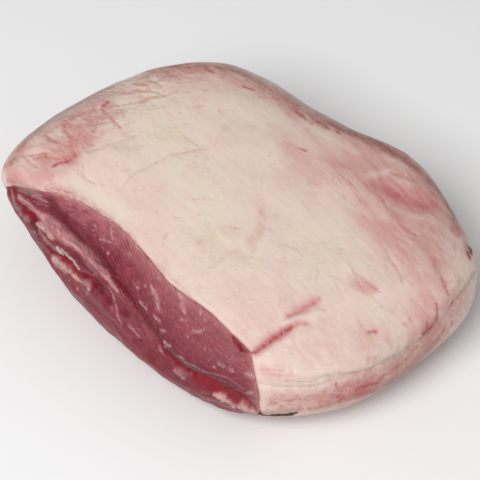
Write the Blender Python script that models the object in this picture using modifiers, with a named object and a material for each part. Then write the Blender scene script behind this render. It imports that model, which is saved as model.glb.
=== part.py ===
"""A whole boneless beef top sirloin, lying fat side up: the lean meat with its folds, and the fat cap over it.

Metres, +Z up. The origin is at the middle of the footprint, on the surface that the meat rests on.
The uncovered lean meat faces -Y, the thick end is at -X and the thin rounded end at +X.
"""

import math

import bmesh
import bpy
import numpy as np

# Size of the rounded block that the meat is shaped from
HALF_LENGTH = 0.161
HALF_WIDTH = 0.120
GIRTH_HEIGHT = 0.0565
CROWN_RISE = 0.0515
PLAN_ROUNDNESS = 3.1
SIDE_ROUNDNESS = 3.0
FOOT_PRESS = 1.12
FOOT_HEIGHT = 0.012

# The middle of the footprint, which becomes the origin
MIDDLE = (-0.0013, 0.0076)

# The crown is higher at the thick end and falls away on both long sides
CROWN_FALL_ALONG = -0.27
CROWN_FALL_ACROSS = 0.12
CROWN_ARCH_ALONG = 0.09
CROWN_ARCH_ACROSS = -0.18

# The outline seen from above leans over and widens a little to +X
SKEW_LENGTH = 0.10
SKEW_WIDTH = 0.14
WIDEN = 0.027

# Local pulls on the form: where, how far they reach, and how far they move the meat
PULLS = {
    "left lip": ((-0.152, -0.087, 0.097), 0.032, (0.0022, -0.0124, -0.0078)),
    "under the left lip": ((-0.147, -0.083, 0.032), 0.032, (-0.0006, 0.0043, 0.0012)),
    "back": ((0.032, 0.124, 0.083), 0.041, (0.0059, 0.0166, 0.0078)),
    "right corner": ((0.161, 0.083, 0.051), 0.041, (-0.0081, 0.0005, 0.0045)),
    "far corner": ((-0.12, 0.11, 0.092), 0.046, (-0.007, 0.0042, 0.0092)),
    "lower front": ((-0.037, -0.124, 0.028), 0.041, (0.0014, 0.0017, 0.0044)),
    "right foot": ((0.17, -0.028, 0.028), 0.041, (0.0042, 0.0065, 0.0012)),
    "lower left front": ((-0.101, -0.11, 0.028), 0.032, (0.004, 0.0105, 0.0013)),
}

# How far the edge of the fat sits below the middle of the rounded front edge, in degrees
FAT_LINE = (-8.2, -2.6, 14.8, -3.4)
FAT_LINE_REACH = 90.0
FRONT_RIGHT_TURN = (2.3, -0.6, -0.6)
FRONT_RIGHT_REACH = 60.0

# The fat cap
FAT_THICKNESS = 0.0085
FAT_EDGE = 0.0026
FAT_TAPER = 0.34
FAT_GAP = 0.0003
FAT_LIP_GAP = 0.0010
LEFT_FAT_EDGE = 0.0
LEFT_FAT_EDGE_FOOT = -0.97
LEFT_FAT_EDGE_FADE = 0.8

# The uncovered lean meat: a cut face above, a loose flap of muscle below, and a deep crease between them
CREASE_MIDDLE = 0.22
CREASE_SWING = 0.56
CREASE_PLACE = 0.24
CREASE_LENGTH = 0.36
CREASE_SHALLOW = 0.0040
CREASE_DEEP = 0.0090
DEEP_PLACE = 0.10
DEEP_REACH = 0.45
CUT_HOLLOW = 1.8
CREASE_ROW = 1.0 / 3.0
CREASE_ROW_FADE = 0.2
FLAP_RISE = 0.36
FLAP_FADE = 0.16

# Hollows and ridges in the flap: place along and up the front, half sizes, and depth (a ridge is negative)
FOLDS = (
    (-0.57, 0.45, 0.15, 0.12, 0.0060),
    (0.03, 0.24, 0.16, 0.09, 0.0050),
    (-0.30, 0.16, 0.30, 0.10, -0.0025),
    (-0.36, -0.12, 0.26, 0.09, 0.0050),
    (0.42, -0.52, 0.24, 0.10, 0.0035),
)

# Rows and columns of the surface
COLUMNS, DEPTH_ROWS, HEIGHT_ROWS = 36, 14, 18


def smooth_step(values):
    t = np.clip(values, 0.0, 1.0)
    return t * t * (3.0 - 2.0 * t)


def make_material(name, colour, roughness):
    material = bpy.data.materials.new(name)
    material.use_nodes = True
    shader = material.node_tree.nodes["Principled BSDF"]
    shader.inputs["Base Color"].default_value = (*colour, 1.0)
    shader.inputs["Roughness"].default_value = roughness
    shader.inputs["Metallic"].default_value = 0.0
    return material


def add_to(collection, mesh, name, material):
    mesh.materials.append(material)
    mesh.shade_smooth()
    mesh.set_sharp_from_angle(angle=math.radians(40))
    obj = bpy.data.objects.new(name, mesh)
    collection.objects.link(obj)
    return obj


def gridded_cube():
    """A cube from -1 to 1, sliced into rows and columns, as a bmesh."""
    block = bmesh.new()
    bmesh.ops.create_cube(block, size=2.0)
    for axis, count in enumerate((COLUMNS, DEPTH_ROWS, HEIGHT_ROWS)):
        normal = [0.0, 0.0, 0.0]
        normal[axis] = 1.0
        for step in range(1, count):
            place = [0.0, 0.0, 0.0]
            place[axis] = 2.0 * step / count - 1.0
            everything = block.verts[:] + block.edges[:] + block.faces[:]
            bmesh.ops.bisect_plane(block, geom=everything, plane_co=place, plane_no=normal)
    return block


def turned(first, second, angle, reach, middle):
    """Turns points about an axis by an angle that is full at one bearing and fades to nothing at its reach."""
    bearing = np.degrees(np.arctan2(second, first))
    away = np.abs((bearing - middle + 180.0) % 360.0 - 180.0)
    bearing = np.radians(bearing + angle * smooth_step(1.0 - away / reach))
    distance = np.hypot(first, second)
    return distance * np.cos(bearing), distance * np.sin(bearing)


def moved_rows(w, row, place):
    """Spreads the rows of the grid evenly again, after one of them has moved to another place."""
    below = -1.0 + (w + 1.0) * (place + 1.0) / (row + 1.0)
    above = 1.0 - (1.0 - w) * (1.0 - place) / (1.0 - row)
    return np.where(w < row, below, above)


def crease_line(along):
    """How high up the front the crease lies, from -1 at the foot to 1 at the fat."""
    return CREASE_MIDDLE - CREASE_SWING * np.tanh((along - CREASE_PLACE) / CREASE_LENGTH)


def follow_crease(cube):
    """Moves rows of the front, so that one of them runs along the crease."""
    u, v, w = cube.T
    share = np.where(v == -1.0, smooth_step((1.0 - np.abs(u)) / CREASE_ROW_FADE), 0.0)
    place = CREASE_ROW + (crease_line(u) - CREASE_ROW) * share
    return np.stack([u, v, moved_rows(w, CREASE_ROW, place)], axis=1)


def slope_left_edge(cube):
    """Moves rows of the grid, so that the fat's edge on the left end slopes down to the foot at the back."""
    u, v, w = cube.T
    share = smooth_step((v + 1.0) / 2.0) * smooth_step(1.0 - (u + 1.0) / LEFT_FAT_EDGE_FADE)
    edge = LEFT_FAT_EDGE + (LEFT_FAT_EDGE_FOOT - LEFT_FAT_EDGE) * share
    return np.stack([u, v, moved_rows(w, LEFT_FAT_EDGE, edge)], axis=1)


def slide_front_edges(cube):
    """Turns the front of the grid, so that the cube's front edges come to lie where the fat ends."""
    u, v, w = cube.T
    drop = np.polynomial.polynomial.polyval(u, FAT_LINE)
    front, up = turned(-v, w, -drop, FAT_LINE_REACH, 45.0)
    turn = np.polynomial.polynomial.polyval(up, FRONT_RIGHT_TURN)
    right, back = turned(u, -front, turn, FRONT_RIGHT_REACH, -45.0)
    return np.stack([right, back, up], axis=1)


def meat_form(cube):
    """The smooth outer form of the meat, from points on the cube."""
    slid = slide_front_edges(slope_left_edge(cube))
    u, v, w = np.abs(slid).T
    plan = (u**PLAN_ROUNDNESS + v**PLAN_ROUNDNESS) ** (1.0 / PLAN_ROUNDNESS)
    size = (plan**SIDE_ROUNDNESS + w**SIDE_ROUNDNESS) ** (1.0 / SIDE_ROUNDNESS)
    along, across, up = (slid / size[:, None]).T
    rise = 1.0 + CROWN_FALL_ALONG * along + CROWN_FALL_ACROSS * across
    rise += CROWN_ARCH_ALONG * along**2 + CROWN_ARCH_ACROSS * across**2
    below = np.maximum(0.0, GIRTH_HEIGHT * (1.0 + FOOT_PRESS * up))
    height = np.where(up > 0.0, GIRTH_HEIGHT + CROWN_RISE * rise * up, below)
    depth = HALF_WIDTH * across * (1.0 + WIDEN * along) + SKEW_WIDTH * HALF_LENGTH * along
    length = HALF_LENGTH * along + SKEW_LENGTH * depth
    points = np.stack([length, depth, height], axis=1)
    for centre, reach, move in PULLS.values():
        distance = np.linalg.norm(points - centre, axis=1)
        moves = np.exp(-0.5 * (distance / reach) ** 2)[:, None] * np.array(move)
        moves[:, 2] *= smooth_step(points[:, 2] / FOOT_HEIGHT)
        points += moves
    points[:, 2] = np.maximum(points[:, 2], 0.0)
    points[:, :2] -= MIDDLE
    return points


def front_depth(along, up):
    """How far the lean front lies inside the outer form."""
    crease = crease_line(along)
    above = up - crease
    reach = np.exp(-(((along - DEEP_PLACE) / DEEP_REACH) ** 2))
    deepest = CREASE_SHALLOW + (CREASE_DEEP - CREASE_SHALLOW) * reach
    descent = np.clip((1.0 - up) / (1.0 - crease), 0.0, 1.0)
    cut = FAT_EDGE + (deepest - FAT_EDGE) * descent**CUT_HOLLOW
    flap = deepest * (1.0 - smooth_step(-above / FLAP_RISE))
    depth = np.where(above > 0.0, cut, flap)
    for place, height, half_length, half_height, amount in FOLDS:
        spread = ((along - place) / half_length) ** 2 + ((up - height) / half_height) ** 2
        depth += amount * np.exp(-spread)
    edge = np.minimum(1.0 - np.abs(along), 1.0 - up)
    inside = smooth_step(edge / FLAP_FADE)
    foot = smooth_step((1.0 + up) / FLAP_FADE)
    return (FAT_EDGE + (depth - FAT_EDGE) * inside) * foot


def fat_depth(cube):
    """How thick the fat is: thin at its edges, full away from them."""
    u, v, w = cube.T
    from_front = np.where(v < 1.0, (1.0 + v) / FAT_TAPER, 9.0)
    from_foot = (1.0 + w) / FAT_TAPER
    from_left_edge = np.where(u == -1.0, (w - LEFT_FAT_EDGE) / FAT_TAPER, 9.0)
    share = smooth_step(np.minimum(np.minimum(from_front, from_foot), from_left_edge))
    return FAT_EDGE + (FAT_THICKNESS - FAT_EDGE) * share


def is_covered(centre):
    """True where a face of the cube, given by its centre, is covered with fat."""
    u, v, w = centre
    if u < -0.999:
        return w > LEFT_FAT_EDGE
    return max(u, v, w) > 0.999


def vertex_normals(block):
    block.normal_update()
    return np.array([vertex.normal for vertex in block.verts])


def build_meat(collection, lean_material, fat_material):
    block = gridded_cube()
    block.verts.index_update()
    cube = follow_crease(np.array([vertex.co for vertex in block.verts]).round(6))
    covered = [is_covered(face.calc_center_median()) for face in block.faces]
    outer = meat_form(cube)
    for vertex, place in zip(block.verts, outer):
        vertex.co = place
    lean_normals = vertex_normals(block)

    fat = block.copy()
    fat.faces.ensure_lookup_table()
    bare = [face for face, cover in zip(fat.faces, covered) if not cover]
    origin = fat.verts.layers.int.new("origin")
    for vertex in fat.verts:
        vertex[origin] = vertex.index
    bmesh.ops.delete(fat, geom=bare, context="FACES")
    bmesh.ops.triangulate(fat, faces=fat.faces[:], quad_method="FIXED")
    fat.normal_update()
    under_fat = {vertex[origin]: np.array(vertex.normal) for vertex in fat.verts}
    thickness = fat_depth(cube)
    gap = np.full(len(cube), FAT_GAP)
    gap[[vertex[origin] for vertex in fat.verts if vertex.is_boundary]] = FAT_LIP_GAP

    depth = np.zeros(len(cube))
    on_front = cube[:, 1] == -1.0
    depth[on_front] = front_depth(cube[on_front, 0], cube[on_front, 2])
    on_left = (cube[:, 0] == -1.0) & (cube[:, 2] > -1.0)
    depth[on_left] = FAT_EDGE * smooth_step((1.0 + cube[on_left, 2]) / FLAP_FADE)
    inner = outer - depth[:, None] * lean_normals
    for index, normal in under_fat.items():
        inner[index] = outer[index] - (thickness[index] + gap[index]) * normal
    inner[:, 2] = np.maximum(inner[:, 2], 0.0)

    bmesh.ops.triangulate(block, faces=block.faces[:], quad_method="FIXED")
    for vertex, place in zip(block.verts, inner):
        vertex.co = place
    lean_mesh = bpy.data.meshes.new("lean_meat")
    block.to_mesh(lean_mesh)
    block.free()
    add_to(collection, lean_mesh, "lean_meat", lean_material)

    order = [vertex[origin] for vertex in fat.verts]
    fat.verts.layers.int.remove(origin)
    fat_mesh = bpy.data.meshes.new("fat_cap")
    fat.to_mesh(fat_mesh)
    fat.free()
    fat_cap = add_to(collection, fat_mesh, "fat_cap", fat_material)
    group = fat_cap.vertex_groups.new(name="thickness")
    for index, source in enumerate(order):
        group.add([index], float(thickness[source] / FAT_THICKNESS), "REPLACE")
    shell = fat_cap.modifiers.new("thickness", "SOLIDIFY")
    shell.thickness = FAT_THICKNESS
    shell.offset = -1.0
    shell.vertex_group = group.name


def main():
    for obj in list(bpy.data.objects):
        bpy.data.objects.remove(obj, do_unlink=True)
    collection = bpy.data.collections.new("beef_top_sirloin")
    bpy.context.scene.collection.children.link(collection)
    lean_material = make_material("lean meat", (0.32, 0.075, 0.085), 0.45)
    fat_material = make_material("beef fat", (0.76, 0.60, 0.50), 0.40)
    build_meat(collection, lean_material, fat_material)


main()
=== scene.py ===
"""The looks of a whole boneless beef top sirloin: its fat cap, its lean meat and the stage that it is shown on.

Metres, +Z up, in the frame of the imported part. The uncovered lean meat faces -Y.
Two kinds of place are used. A place on the block is a point on a cube from -1 to 1, which the form turns
into meat. A place in the picture is in pixels of the 480 x 480 frame, from its upper left corner, and
is where the camera of this scene sees that spot.
"""

import bpy
import numpy as np
from bpy.props import FloatProperty, FloatVectorProperty, PointerProperty
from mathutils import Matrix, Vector, noise


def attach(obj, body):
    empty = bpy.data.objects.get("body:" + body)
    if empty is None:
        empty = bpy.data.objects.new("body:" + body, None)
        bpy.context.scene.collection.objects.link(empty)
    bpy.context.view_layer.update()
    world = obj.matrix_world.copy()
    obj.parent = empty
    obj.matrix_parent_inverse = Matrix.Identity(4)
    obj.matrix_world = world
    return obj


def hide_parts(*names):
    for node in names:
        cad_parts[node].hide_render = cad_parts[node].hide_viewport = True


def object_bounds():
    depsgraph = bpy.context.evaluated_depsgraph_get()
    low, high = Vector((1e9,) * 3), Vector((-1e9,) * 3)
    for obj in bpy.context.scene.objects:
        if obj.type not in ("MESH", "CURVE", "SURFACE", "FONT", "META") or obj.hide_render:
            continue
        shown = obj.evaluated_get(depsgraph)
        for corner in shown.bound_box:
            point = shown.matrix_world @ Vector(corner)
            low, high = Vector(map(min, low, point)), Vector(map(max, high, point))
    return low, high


bl_info = {
    "name": "Beef top sirloin",
    "version": (1, 0, 0),
    "blender": (4, 5, 0),
    "location": "View3D > Sidebar > Sirloin",
    "description": "Builds the fat cap and the lean meat of a whole top sirloin, and a plain stage",
    "category": "Object",
}

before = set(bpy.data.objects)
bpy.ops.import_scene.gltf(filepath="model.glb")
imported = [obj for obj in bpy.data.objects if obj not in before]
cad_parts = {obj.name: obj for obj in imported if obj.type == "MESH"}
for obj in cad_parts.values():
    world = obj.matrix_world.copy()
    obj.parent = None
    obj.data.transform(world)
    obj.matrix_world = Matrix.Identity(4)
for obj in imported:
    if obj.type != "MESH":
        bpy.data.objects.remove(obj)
CAD_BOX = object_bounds()

# Size of the rounded block that the meat is shaped from
HALF_LENGTH = 0.161
HALF_WIDTH = 0.120
GIRTH_HEIGHT = 0.0565
CROWN_RISE = 0.0515
PLAN_ROUNDNESS = 3.1
SIDE_ROUNDNESS = 3.0
FOOT_PRESS = 1.12
FOOT_HEIGHT = 0.012
MIDDLE = (-0.0013, 0.0076)

# The crown is higher at the thick end and falls away on both long sides
CROWN_FALL_ALONG = -0.27
CROWN_FALL_ACROSS = 0.12
CROWN_ARCH_ALONG = 0.09
CROWN_ARCH_ACROSS = -0.18

# The outline seen from above leans over and widens a little to +X
SKEW_LENGTH = 0.10
SKEW_WIDTH = 0.14
WIDEN = 0.027

# Local pulls on the form: where, how far they reach, and how far they move the meat
PULLS = {
    "left lip": ((-0.152, -0.087, 0.097), 0.032, (0.0022, -0.0124, -0.0078)),
    "under the left lip": ((-0.147, -0.083, 0.032), 0.032, (-0.0006, 0.0043, 0.0012)),
    "back": ((0.032, 0.124, 0.083), 0.041, (0.0059, 0.0166, 0.0078)),
    "right corner": ((0.161, 0.083, 0.051), 0.041, (-0.0081, 0.0005, 0.0045)),
    "far corner": ((-0.12, 0.11, 0.092), 0.046, (-0.007, 0.0042, 0.0092)),
    "lower front": ((-0.037, -0.124, 0.028), 0.041, (0.0014, 0.0017, 0.0044)),
    "right foot": ((0.17, -0.028, 0.028), 0.041, (0.0042, 0.0065, 0.0012)),
    "lower left front": ((-0.101, -0.11, 0.028), 0.032, (0.004, 0.0105, 0.0013)),
}

# How far the edge of the fat sits below the middle of the rounded front edge, in degrees: a cubic along the
# front, with waves on it, each a place along the front and how far it moves the edge there
FAT_LINE = (-8.2, -2.6, 14.8, -3.4)
FAT_LINE_REACH = 90.0
FAT_LINE_WAVES = (
    (-1.0, 0.0),
    (-0.75, 0.3),
    (-0.45, -1.6),
    (-0.15, -1.2),
    (0.08, 0.6),
    (0.3, 2.0),
    (0.42, 0.8),
    (0.6, -1.4),
    (0.9, -1.8),
    (1.0, -1.2),
)
# The same for the upright edge at the right of the front, up its height
FRONT_RIGHT_TURN = (2.3, -0.6, -0.6)
FRONT_RIGHT_REACH = 60.0

# The fat cap
FAT_THICKNESS = 0.0085
FAT_EDGE = 0.0026
FAT_TAPER = 0.34
LEFT_FAT_EDGE = 0.0
LEFT_FAT_EDGE_FOOT = -0.97
LEFT_FAT_EDGE_FADE = 0.8
LIP_REACH = 0.0060
LIP_DROP = 0.0013
RAGGED_EDGE = 0.012
RAGGED_REACH = 0.06
RAGGED_SIZE = 0.007
FAT_FOOT_RISE = 0.02

# No groove goes through more than this share of the fat
DEEPEST_SHARE = 0.8

# Bumps of the fat: their size, and how much finer the wrinkles are along each axis
SWELL_SIZE = 0.036
WRINKLE_SIZE = 0.011
WRINKLE_FINENESS = (1.0, 2.6, 1.6)

# Where the lean meat meets the fat: the gap under it, and how far it lies back at the fat's edge
LEAN_GAP = 0.0002
LEAN_LIP = 0.0008
LEAN_LIP_REACH = 0.10

# The uncovered lean meat: a cut face above, a loose flap of muscle below, and a deep crease between them
CREASE_MIDDLE = 0.22
CREASE_SWING = 0.56
CREASE_PLACE = 0.24
CREASE_LENGTH = 0.36
CREASE_SHALLOW = 0.0040
CREASE_DEEP = 0.0090
DEEP_PLACE = 0.10
DEEP_REACH = 0.45
CUT_HOLLOW = 1.8
CREASE_ROW = 0.3
CREASE_ROW_FADE = 0.2
FLAP_RISE = 0.36
FLAP_FADE = 0.16
FLAP_START = 0.03
LEAN_RIM = 0.06
LEAN_FOOT_RISE = 0.006

# Bumps of the lean meat: their size, and how much finer they are along each axis
LUMP_SIZE = 0.016
LUMP_FINENESS = (0.7, 1.0, 1.5)
BUNDLE_SIZE = 0.006
BUNDLE_FINENESS = (0.35, 1.0, 2.4)

# Hollows and ridges in the flap: place along and up the front, half sizes, and depth (a ridge is negative)
FOLDS = (
    (-0.57, 0.45, 0.15, 0.12, 0.0060),
    (0.03, 0.24, 0.16, 0.09, 0.0050),
    (-0.30, 0.16, 0.30, 0.10, -0.0025),
    (-0.36, -0.12, 0.26, 0.09, 0.0050),
    (0.42, -0.52, 0.24, 0.10, 0.0035),
)

# Rows and columns of the block, and how many cuts go through each of its faces again where they show
COLUMNS, DEPTH_ROWS, HEIGHT_ROWS = 64, 50, 20
FAT_END_CUTS = 4
FAT_MIDDLE_CUTS = 2
FAT_BACK_CUTS = 1
FAT_MIDDLE = (-0.44, 0.60)
LEAN_CUTS = 6
LEAN_LEFT_CUTS = 2

# How close to 1 a place, or the middle of a face, lies when it is on a side of the block, and a distance on the
# block that is longer than any of its sides
ON_SIDE = 0.9999
FACE_ON_SIDE = 0.999
WHOLE_SIDE = 1.9
FAR_OFF = 9.0
SAME_PLACE = 1e-5

# The fat's surface lies this far inside the CAD form, the pieces stay this far inside the CAD box, and no ridge of
# the lean meat stands higher than the limit
SAFE_INSET = 0.0009
BOX_MARGIN = 0.0001
RIDGE_LIMIT = 0.0015

# The camera: where it looks from, in degrees, and its lens and distance
VIEW_AZIMUTH = 53.43
VIEW_ELEVATION = 49.07
VIEW_DISTANCE = 1.472
VIEW_TARGET = (0.0013, -0.0076, 0.0506)
VIEW_SHIFT_RIGHT = 0.0038
VIEW_SHIFT_UP = 0.0011
SENSOR_WIDTH = 36.0
PICTURE_SIZE = 480.0
FOCAL_PIXELS = 2006.3

# What turns away from the camera fades out of the painting
FACING_FADE = 0.13

# Painted lines waver by so many pixels in waves of these sizes, and a lone spot is a short dash
WANDER = 1.0
FAT_WANDER_SIZE = 0.010
LEAN_WANDER_SIZE = 0.009
SPOT_DASH = (0.9, 0.8)
WIDE_GROOVE = 4.5

# A line is thinner at its ends, and swells and shrinks along its length, the more the finer it is
LINE_REACH = 3.0
LINE_END_WIDTH = 0.45
LINE_SWELL = 0.28
LINE_SWELL_WIDTH = 2.5
LINE_SWELL_PACES = (0.71, 0.29)

# How far apart noises are read, so that they don't repeat each other
OCTAVE_SHIFT = 7.3
DOWN_SHIFT = 3.0

# Where the ruddy colour goes on over the back, and how strongly: it grows where the fat turns away from the camera
# and the light beside it, partly thin fat and partly painted shade
BACK_RUDDINESS = 0.75
BACK_RUDDY_FROM = 0.015
BACK_RUDDY_RISE = 0.075

# Streaks show least at the near left and fully at the far right
STREAKY_LEAST = 0.25
STREAKY_ALONG = 0.75
STREAKY_ACROSS = 0.8
STREAKY_START = 0.02
STREAKY_FADE = 0.13

# Fat below this height is browner and darker, a browner tone and painted shade low down, and the web of fine veins
# lies beyond this end, behind the front
LOW_TOP = 0.046
LOW_FADE = 0.036
WEB_TURN = 1.08
WEB_END = -0.07
WEB_END_FADE = 0.06
WEB_FRONT = -0.10
WEB_FRONT_FADE = 0.05

# How far the pink edge of the fat and the film beside it reach, in metres
EDGE_COLOUR_REACH = 0.0035
FILM_REACH = 0.0022

# The back has no pink edge, so it ends at this place across the block
EDGE_COLOUR_END = 0.9

# The large soft light, near the camera: how far off it is, and how far to its left and above it
KEY_DISTANCE = 2.6
KEY_LEFT = 0.35
KEY_UP = 0.10
KEY_SIZE = 1.4
FLOOR_SIZE = 12.0
FLOOR_ROUGHNESS = 0.9

# Noise patterns: their scale, or how far each is drawn out in metres, then the noise's detail, roughness and
# distortion, and a turn about the vertical
FAT_PATTERNS = {
    "broad": (18.0, 3.0, 0.55),
    "medium": (70.0, 4.0, 0.55),
    "fine": (260.0, 4.0, 0.6),
    "threads": (42.0, 4.0, 0.6, 0.6),
    "ragged": ((0.0050, 0.0016, 0.0016), 4.0, 0.65),
    "wisps": ((0.050, 0.012, 0.012), 5.0, 0.62, 0.6),
    "hairs": ((0.022, 0.0034, 0.0034), 4.0, 0.6, 0.6),
    "web": ((0.026, 0.008, 0.010), 5.0, 0.65, 0.8, WEB_TURN),
    "net": ((0.022, 0.010, 0.013), 5.0, 0.6, 0.8, WEB_TURN),
    "crazing": ((0.05, 0.02, 0.02), 6.0, 0.62, 0.5, 1.0),
}
LEAN_PATTERNS = {
    "broad": (30.0, 3.0, 0.55),
    "medium": (130.0, 4.0, 0.55),
    "ragged": (480.0, 3.0, 0.65),
}
# The same along the grain of the cut face
GRAIN_PATTERNS = {
    "fibres": ((0.012, 0.0010, 1.0), 4.0, 0.65, 0.3),
    "bundles": ((0.030, 0.0042, 1.0), 4.0, 0.6, 0.3),
    "flecks": ((0.0042, 0.0011, 1.0), 3.0, 0.6, 0.5),
    "threads": ((0.030, 0.0060, 1.0), 4.0, 0.62, 0.6),
}

# Bumps in the materials: the pattern and its height in metres
FAT_BUMPS = {"medium": 0.0006, "wrinkles": 0.0012, "fine": 0.00016, "hairs": 0.00008}
LEAN_BUMPS = {"bundles": 0.0006, "fibres": 0.0003, "medium": 0.0005, "ragged": 0.0002}

# How light goes into the meat: its share, how far each colour goes, and the scale in metres
FAT_DEPTH_OF_LIGHT = (0.15, (1.0, 0.45, 0.3), 0.003)
LEAN_DEPTH_OF_LIGHT = (0.10, (1.0, 0.25, 0.2), 0.002)
LEAN_SHINE = 0.18

# Noise wears paint away between these two values
WORN_FROM, WORN_TO = 0.36, 0.60

# What shows on the fat, each as a half width and the line that it follows in the picture, in pixels, and
# where it is faint, its strength. Strong red spots and streaks
FAT_BLOOD = {
    "upper left spot": (1.9, ((109, 100.5), (104.3, 104), (101, 107)), 0.8),
    "edge spot": (1.6, ((61, 116), (64, 117)), 0.9),
    "node": (2.6, ((73, 153), (75.5, 156)), 0.8),
    "patch": (2.2, ((51.8, 167.3), (57.3, 163.2), (65.5, 161.8), (71, 159)), 0.8),
    "patch dot": (1.3, ((54, 176),), 0.7),
    "dash a": (1.5, ((185, 66), (191, 67)), 0.8),
    "dash b": (1.5, ((205, 67), (215, 72)), 0.8),
    "dash e": (1.4, ((242, 85), (256, 89)), 0.7),
    "dash k": (2.0, ((293, 108), (300, 113), (306, 118)), 0.8),
    "dash m": (1.9, ((317, 120), (324, 124), (331, 129)), 0.8),
    "dash n": (1.6, ((333, 128), (341, 133)), 0.7),
    "spot a": (1.6, ((299, 147), (308, 151)), 0.7),
    "hollow point": (1.6, ((396, 191), (402, 194.5)), 0.7),
    "end red": (2.0, ((468, 250), (470.5, 255), (472, 260)), 0.9),
    "gash start": (1.7, ((249, 354), (253, 352), (256, 352)), 0.9),
    "gash": (3.6, ((255, 352), (262, 345.7), (271, 339), (281, 332), (292, 325)), 0.8),
    "gash dot": (2.0, ((255, 352), (259, 349)), 1.0),
    "gash dot b": (1.8, ((260.5, 346), (263, 344)), 1.0),
    "gash end": (3.2, ((288, 327), (298, 323.5), (307, 323.5)), 0.45),
    "upper gash": (2.8, ((290, 315), (300, 311), (307, 305), (315, 301)), 0.45),
    "seam spot": (2.2, ((369.3, 331.6), (374.9, 331), (378.4, 331.6)), 0.6),
    "seam spot b": (1.4, ((375.5, 331), (376.3, 335)), 0.6),
    "cluster a": (2.8, ((425, 335.5), (429, 332.5), (433.5, 327.5), (435.5, 324)), 1.0),
    "cluster b": (2.0, ((427.3, 322), (427.8, 331)), 0.8),
    "cluster c": (1.2, ((422.4, 325), (423.5, 336)), 0.5),
    "cluster d": (1.8, ((435.5, 303), (436.5, 311), (437, 318), (438.5, 323)), 0.75),
    "smudge a": (2.8, ((441, 276), (445, 284.5), (448, 296)), 0.65),
    "smudge b": (1.6, ((453.8, 321), (451.3, 327)), 0.7),
    "smudge c": (1.4, ((445, 329), (442, 335)), 0.6),
    "under seam a": (2.2, ((336.6, 383.5), (336.2, 387.5)), 0.75),
    "under seam b": (2.2, ((337.5, 400), (339.9, 398.3), (342.8, 395.4)), 0.9),
    "under seam c": (2.8, ((355.5, 391.8), (360.2, 388.9), (365.1, 388), (369.3, 385.6)), 0.9),
    "under seam d": (2.0, ((369.3, 385.6), (375.6, 384), (380.6, 382)), 0.9),
    "under seam e": (2.8, ((352, 396), (362, 394), (372.1, 391)), 0.75),
    "under seam f": (2.0, ((379, 379.5), (387, 373.5)), 0.75),
    "under seam i": (2.2, ((338, 404), (346, 398), (352, 395)), 0.7),
    "under seam j": (1.8, ((394, 370), (402, 364)), 0.55),
}
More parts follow.
